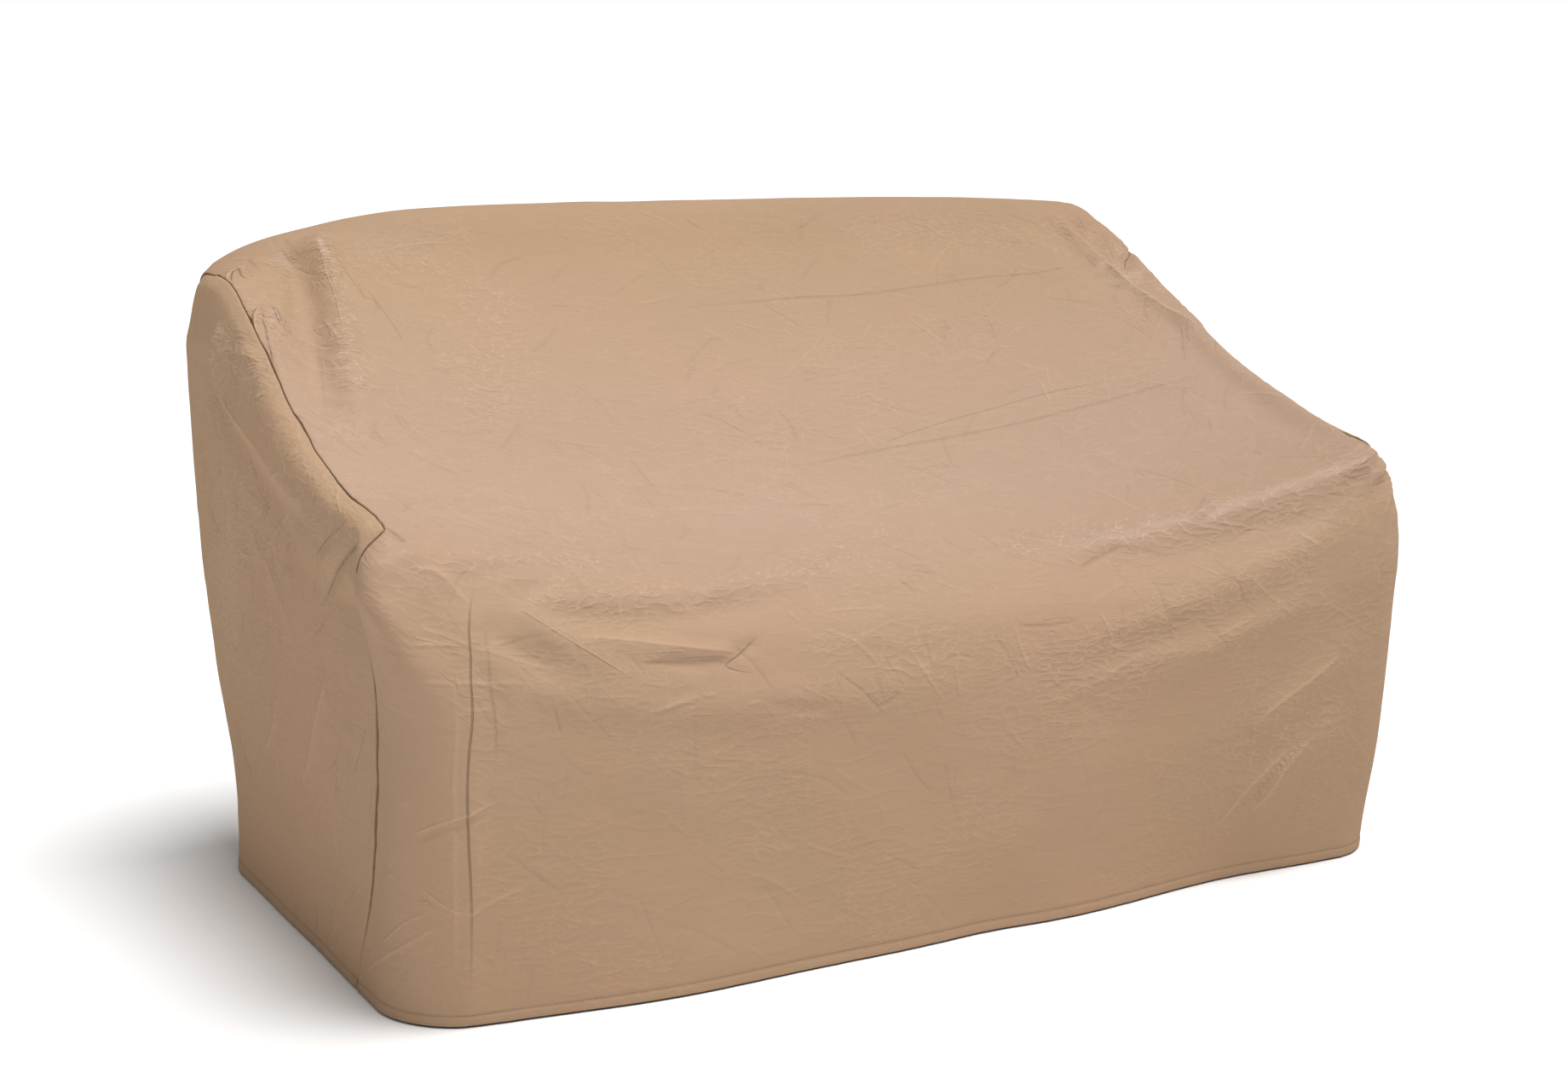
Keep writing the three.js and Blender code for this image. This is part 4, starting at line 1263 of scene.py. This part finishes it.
def band_of(signal, low, high):
    """A signal as 0 below low, 1 above high and smooth between."""
    sockets = {"Value": signal, "From Min": low, "From Max": high}
    return signal.node("ShaderNodeMapRange", {"interpolation_type": "SMOOTHSTEP"}, sockets)


def pushed(root, vector, push, amount):
    """A vector moved by a push of noise, so that straight patterns on it bend."""
    mixed = root.node("ShaderNodeVectorMath", {"operation": "MULTIPLY"},
                      {0: push, 1: (amount, amount, 0)})
    return root.node("ShaderNodeVectorMath", {"operation": "ADD"}, {0: vector, 1: mixed})


def creases(root, vector, scale, width):
    """A net of crease lines: 1 on them and 0 away from them."""
    settings = {"voronoi_dimensions": "2D", "feature": "DISTANCE_TO_EDGE"}
    edge = root.node("ShaderNodeTexVoronoi", settings, {"Vector": vector, "Scale": scale})
    return 1 - band_of(edge, 0, width)


def ridges(root, vector, scale, width):
    """Thin winding lines where noise passes its middle: 1 on them and 0 away from them."""
    off = noise(root, vector, scale, 2, 0.4) - 0.5
    return 1 - band_of(off.math("ABSOLUTE", off), 0, width)


def attribute(root, name):
    return root.node("ShaderNodeAttribute", {"attribute_name": name}, {}, output=2)


def bell(signal, width):
    """A bell curve of a signal about zero."""
    share = signal / width
    return signal.math("EXPONENT", share * share * -1)


def told_crease(root, k):
    """The height of the creases of one channel."""
    told = root.node("ShaderNodeAttribute", {"attribute_name": f"crease {k}"}, {}, output=1)
    distance = root.node("ShaderNodeSeparateXYZ", {}, {"Vector": told}, output=0)
    height = root.node("ShaderNodeSeparateXYZ", {}, {"Vector": told}, output=1)
    return height * bell(distance, CREASE_WIDTHS[k])


def make_vinyl():
    finish, root, shader = new_finish("tan vinyl")
    plain = flat_vector(root)
    slanted = flat_vector(root, 38, (1, 2.2, 1))
    rising = flat_vector(root, 47, (1, 3.4, 1))
    falling = flat_vector(root, -58, (1, 3, 1))
    push = root.node("ShaderNodeTexNoise", {"noise_dimensions": "2D"},
                     {"Vector": plain, "Scale": 11, "Detail": 2}, output=1)
    seam, hem, crinkle, rubbed, soiled, deep = (
        attribute(root, name) for name in ("seam", "hem", "crinkle", "rubbed", "soiled", "deep")
    )

    patch = noise(root, plain, 6, 2)
    net = creases(root, pushed(root, slanted, push, 0.05), 12, 0.07) * band_of(patch, 0.45, 0.6)
    lines = ridges(root, pushed(root, rising, push, 0.03), 12, 0.09) * band_of(patch, 0.42, 0.56)
    other = ridges(root, pushed(root, falling, push, 0.03), 11, 0.08)
    lines = lines + other * (1 - band_of(patch, 0.4, 0.52))
    film = crumple(root, pushed(root, slanted, push, 0.03), 48, 3)
    film_share = 0.07 + 0.1 * rubbed + 0.24 * band_of(patch, 0.4, 0.62) + crinkle
    swell = noise(root, slanted, 16, 3)
    told = told_crease(root, 0) + told_crease(root, 1) + told_crease(root, 4)
    chance = told_crease(root, 2) + told_crease(root, 3)
    height = (NET_HEIGHT * net + LINE_HEIGHT * lines) * (0.3 + 0.5 * rubbed)
    height = height + FILM_HEIGHT * film * film_share
    height = height + SWELL_HEIGHT * swell + told + chance
    root.bump(height).feed(shader, "Normal")

    drift = noise(root, plain, 3.2, 3)
    tans = {"stops": [(0.34, GREY_TAN), (0.5, TAN), (0.66, ROSY_TAN)]}
    colour = root.node("ShaderNodeValToRGB", tans, {"Fac": drift})
    # painted sheen: a paler tan where the slope would catch a sheen
    colour = root.mixed(0.5 * rubbed, colour, PAINTED_SHEEN_TAN)
    # painted glints on the ridges of the crumple
    painted_glint = band_of(film, 1, 1.5) * film_share
    # Painted highlight and shade: raised creases paler, sunken ones darker, then the painted glints, lines
    # and girth shade
    painted_light = 1 + TOLD_PAINTED_LIGHT * told + CHANCE_PAINTED_LIGHT * chance
    painted_light = painted_light + PAINTED_GLINT_LIGHT * painted_glint + PAINTED_LINE_LIGHT * lines * rubbed - soiled
    colour = root.node("ShaderNodeVectorMath", {"operation": "SCALE"}, {0: colour, 3: painted_light})
    # painted shade and dirt in the seam grooves, and a darker line along the hem stitching
    shade_and_dirt = band_of(bell(seam / (deep + 1), SEAM_SHADE_WIDTH), 0.05, 0.9)
    shade_and_dirt = shade_and_dirt + STITCH_DARK_SHARE * bell(hem - STITCH_DARK_AT, STITCH_DARK_WIDTH)
    colour = root.mixed(shade_and_dirt.math("MINIMUM", shade_and_dirt, MOST_SEAM_SHADE), colour, SEAM_SHADE_BROWN)
    colour.feed(shader, "Base Color")

    rough = ROUGHNESS + ROUGHNESS_DRIFT * noise(root, plain, 12, 3) - CRINKLE_SMOOTH * crinkle
    rough.feed(shader, "Roughness")
    gloss = RUBBED_COAT * rubbed + CRINKLE_COAT * crinkle
    gloss.feed(shader, "Coat Weight")
    set_inputs(shader, {"Coat Roughness": COAT_ROUGHNESS, "Specular IOR Level": 0, "IOR": 1.5})
    return finish


vinyl = make_vinyl()
for piece in cloth.values():
    piece.data.materials.append(vinyl)
print("vinyl nodes:", len(vinyl.node_tree.nodes))

# %% [markdown]
# ## Stitches
# The hem is held by a row of machine stitches. They repeat along a line, so Geometry Nodes make
# them: the line is cut into even lengths, and one small thread loop is set on each, with a little
# chance in its size. The line itself is taken from the skin, on the fold of the turned-up hem.

# %% Thread
THREAD_TAN, THREAD_PALE = (0.46, 0.32, 0.21, 1), (0.56, 0.42, 0.30, 1)
TWIST_HEIGHT = 0.00006


def make_thread():
    finish, root, shader = new_finish("tan thread")
    place = root.node("ShaderNodeTexCoord", {}, {}, output=3)
    twist = root.node("ShaderNodeTexWave", {}, {"Vector": place, "Scale": 900, "Distortion": 2})
    tint = root.node("ShaderNodeTexNoise", {}, {"Vector": place, "Scale": 60})
    root.mixed(tint, THREAD_TAN, THREAD_PALE).feed(shader, "Base Color")
    root.bump(twist * TWIST_HEIGHT).feed(shader, "Normal")
    set_inputs(shader, {"Roughness": 0.6})
    return finish


thread = make_thread()
print("thread nodes:", len(thread.node_tree.nodes))

# %% Stitch tree
STITCH_PITCH = 0.0042
STITCH_LENGTH = 0.003
THREAD_THICKNESS = 0.0007
STITCH_SHARES = (0.85, 1.1)  # of that length
STITCH_PROUD = 0.25


def stitch_tree():
    """Geometry nodes that set one stitch on each even length of a curve."""
    tree = bpy.data.node_groups.new("stitches", "GeometryNodeTree")
    kinds = {"Line": "Geometry", "Pitch": "Float", "Length": "Float", "Thickness": "Float",
             "Material": "Material"}
    named = {name: tree.interface.new_socket(name, in_out="INPUT", socket_type="NodeSocket" + kind)
             for name, kind in kinds.items()}
    tree.interface.new_socket("Stitches", in_out="OUTPUT", socket_type="NodeSocketGeometry")
    root = Signal(tree, None)
    inputs = tree.nodes.new("NodeGroupInput")
    given = {s.name: Signal(tree, s) for s in inputs.outputs if s.name}
    cut = root.node("GeometryNodeResampleCurve", {"mode": "LENGTH"},
                    {"Curve": given["Line"], "Length": given["Pitch"]})
    points = root.node("GeometryNodeCurveToPoints", {"mode": "EVALUATED"}, {"Curve": cut})
    tangent = Signal(tree, points.socket.node.outputs["Tangent"])
    turn = root.node("FunctionNodeAlignRotationToVector", {"axis": "X"}, {"Vector": tangent})
    loop = root.node("GeometryNodeMeshUVSphere", {}, {"Segments": 6, "Rings": 4, "Radius": 0.5})
    chance = root.node("FunctionNodeRandomValue", {"data_type": "FLOAT"},
                       {2: STITCH_SHARES[0], 3: STITCH_SHARES[1], "Seed": 5}, output=1)
    size = root.node("ShaderNodeCombineXYZ", {}, {
        "X": given["Length"] * chance, "Y": given["Thickness"], "Z": given["Thickness"]})
    sewn = root.node("GeometryNodeInstanceOnPoints", {}, {
        "Points": points, "Instance": loop, "Rotation": turn, "Scale": size})
    real = root.node("GeometryNodeRealizeInstances", {}, {"Geometry": sewn})
    dressed = root.node("GeometryNodeSetMaterial", {},
                        {"Geometry": real, "Material": given["Material"]})
    smooth = root.node("GeometryNodeSetShadeSmooth", {}, {"Geometry": dressed})
    outputs = tree.nodes.new("NodeGroupOutput")
    tree.links.new(smooth.socket, outputs.inputs[0])
    return tree, {name: socket.identifier for name, socket in named.items()}


tree, sockets_by_name = stitch_tree()
print("stitch tree inputs:", list(sockets_by_name))

# %% Stitches on the hems
def stitch_lines(panel):
    """The stitch lines of a panel, on its outer face, each a list of points in metres."""
    rows = [STITCH_LINE]
    if panel.ids is main_ids:
        rows.append(len(row_places) - 1 - STITCH_LINE)
    places = own_points(panel) + STITCH_PROUD * skin_out[panel.ids]
    return [(places[row, 1:-1] + CENTRED) * MM for row in rows]


def stitched(name, panel):
    """The hem stitches of a panel, as one plain mesh."""
    curve = bpy.data.curves.new("stitch line", "CURVE")
    curve.dimensions = "3D"
    for line in stitch_lines(panel):
        spline = curve.splines.new("POLY")
        spline.points.add(len(line) - 1)
        spline.points.foreach_set("co", np.c_[line, np.ones(len(line))].ravel())
    path = placed("stitch line", curve)
    modifier = path.modifiers.new("stitches", "NODES")
    modifier.node_group = tree
    values = {"Pitch": STITCH_PITCH, "Length": STITCH_LENGTH, "Thickness": THREAD_THICKNESS,
              "Material": thread}
    for key, value in values.items():
        modifier[sockets_by_name[key]] = value
    graph = bpy.context.evaluated_depsgraph_get()
    mesh = bpy.data.meshes.new_from_object(path.evaluated_get(graph), depsgraph=graph)
    bpy.data.objects.remove(path)
    return placed(name + "_stitches", mesh)


stitches = {}
for name, panel in PANELS.items():
    stitches[name] = stitched(name, panel)
    print(stitches[name].name, len(stitches[name].data.polygons), "faces")

# %% [markdown]
# ## Telling the frame what is what
# Every piece and its stitches ride on the one body of the cover, and the CAD solid that it stands
# for is hidden. What the long panel lies on is not part of the scene.

# %% Pieces
for name, piece in cloth.items():
    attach(piece, "root")
    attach(stitches[name], "root")
    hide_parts(name)
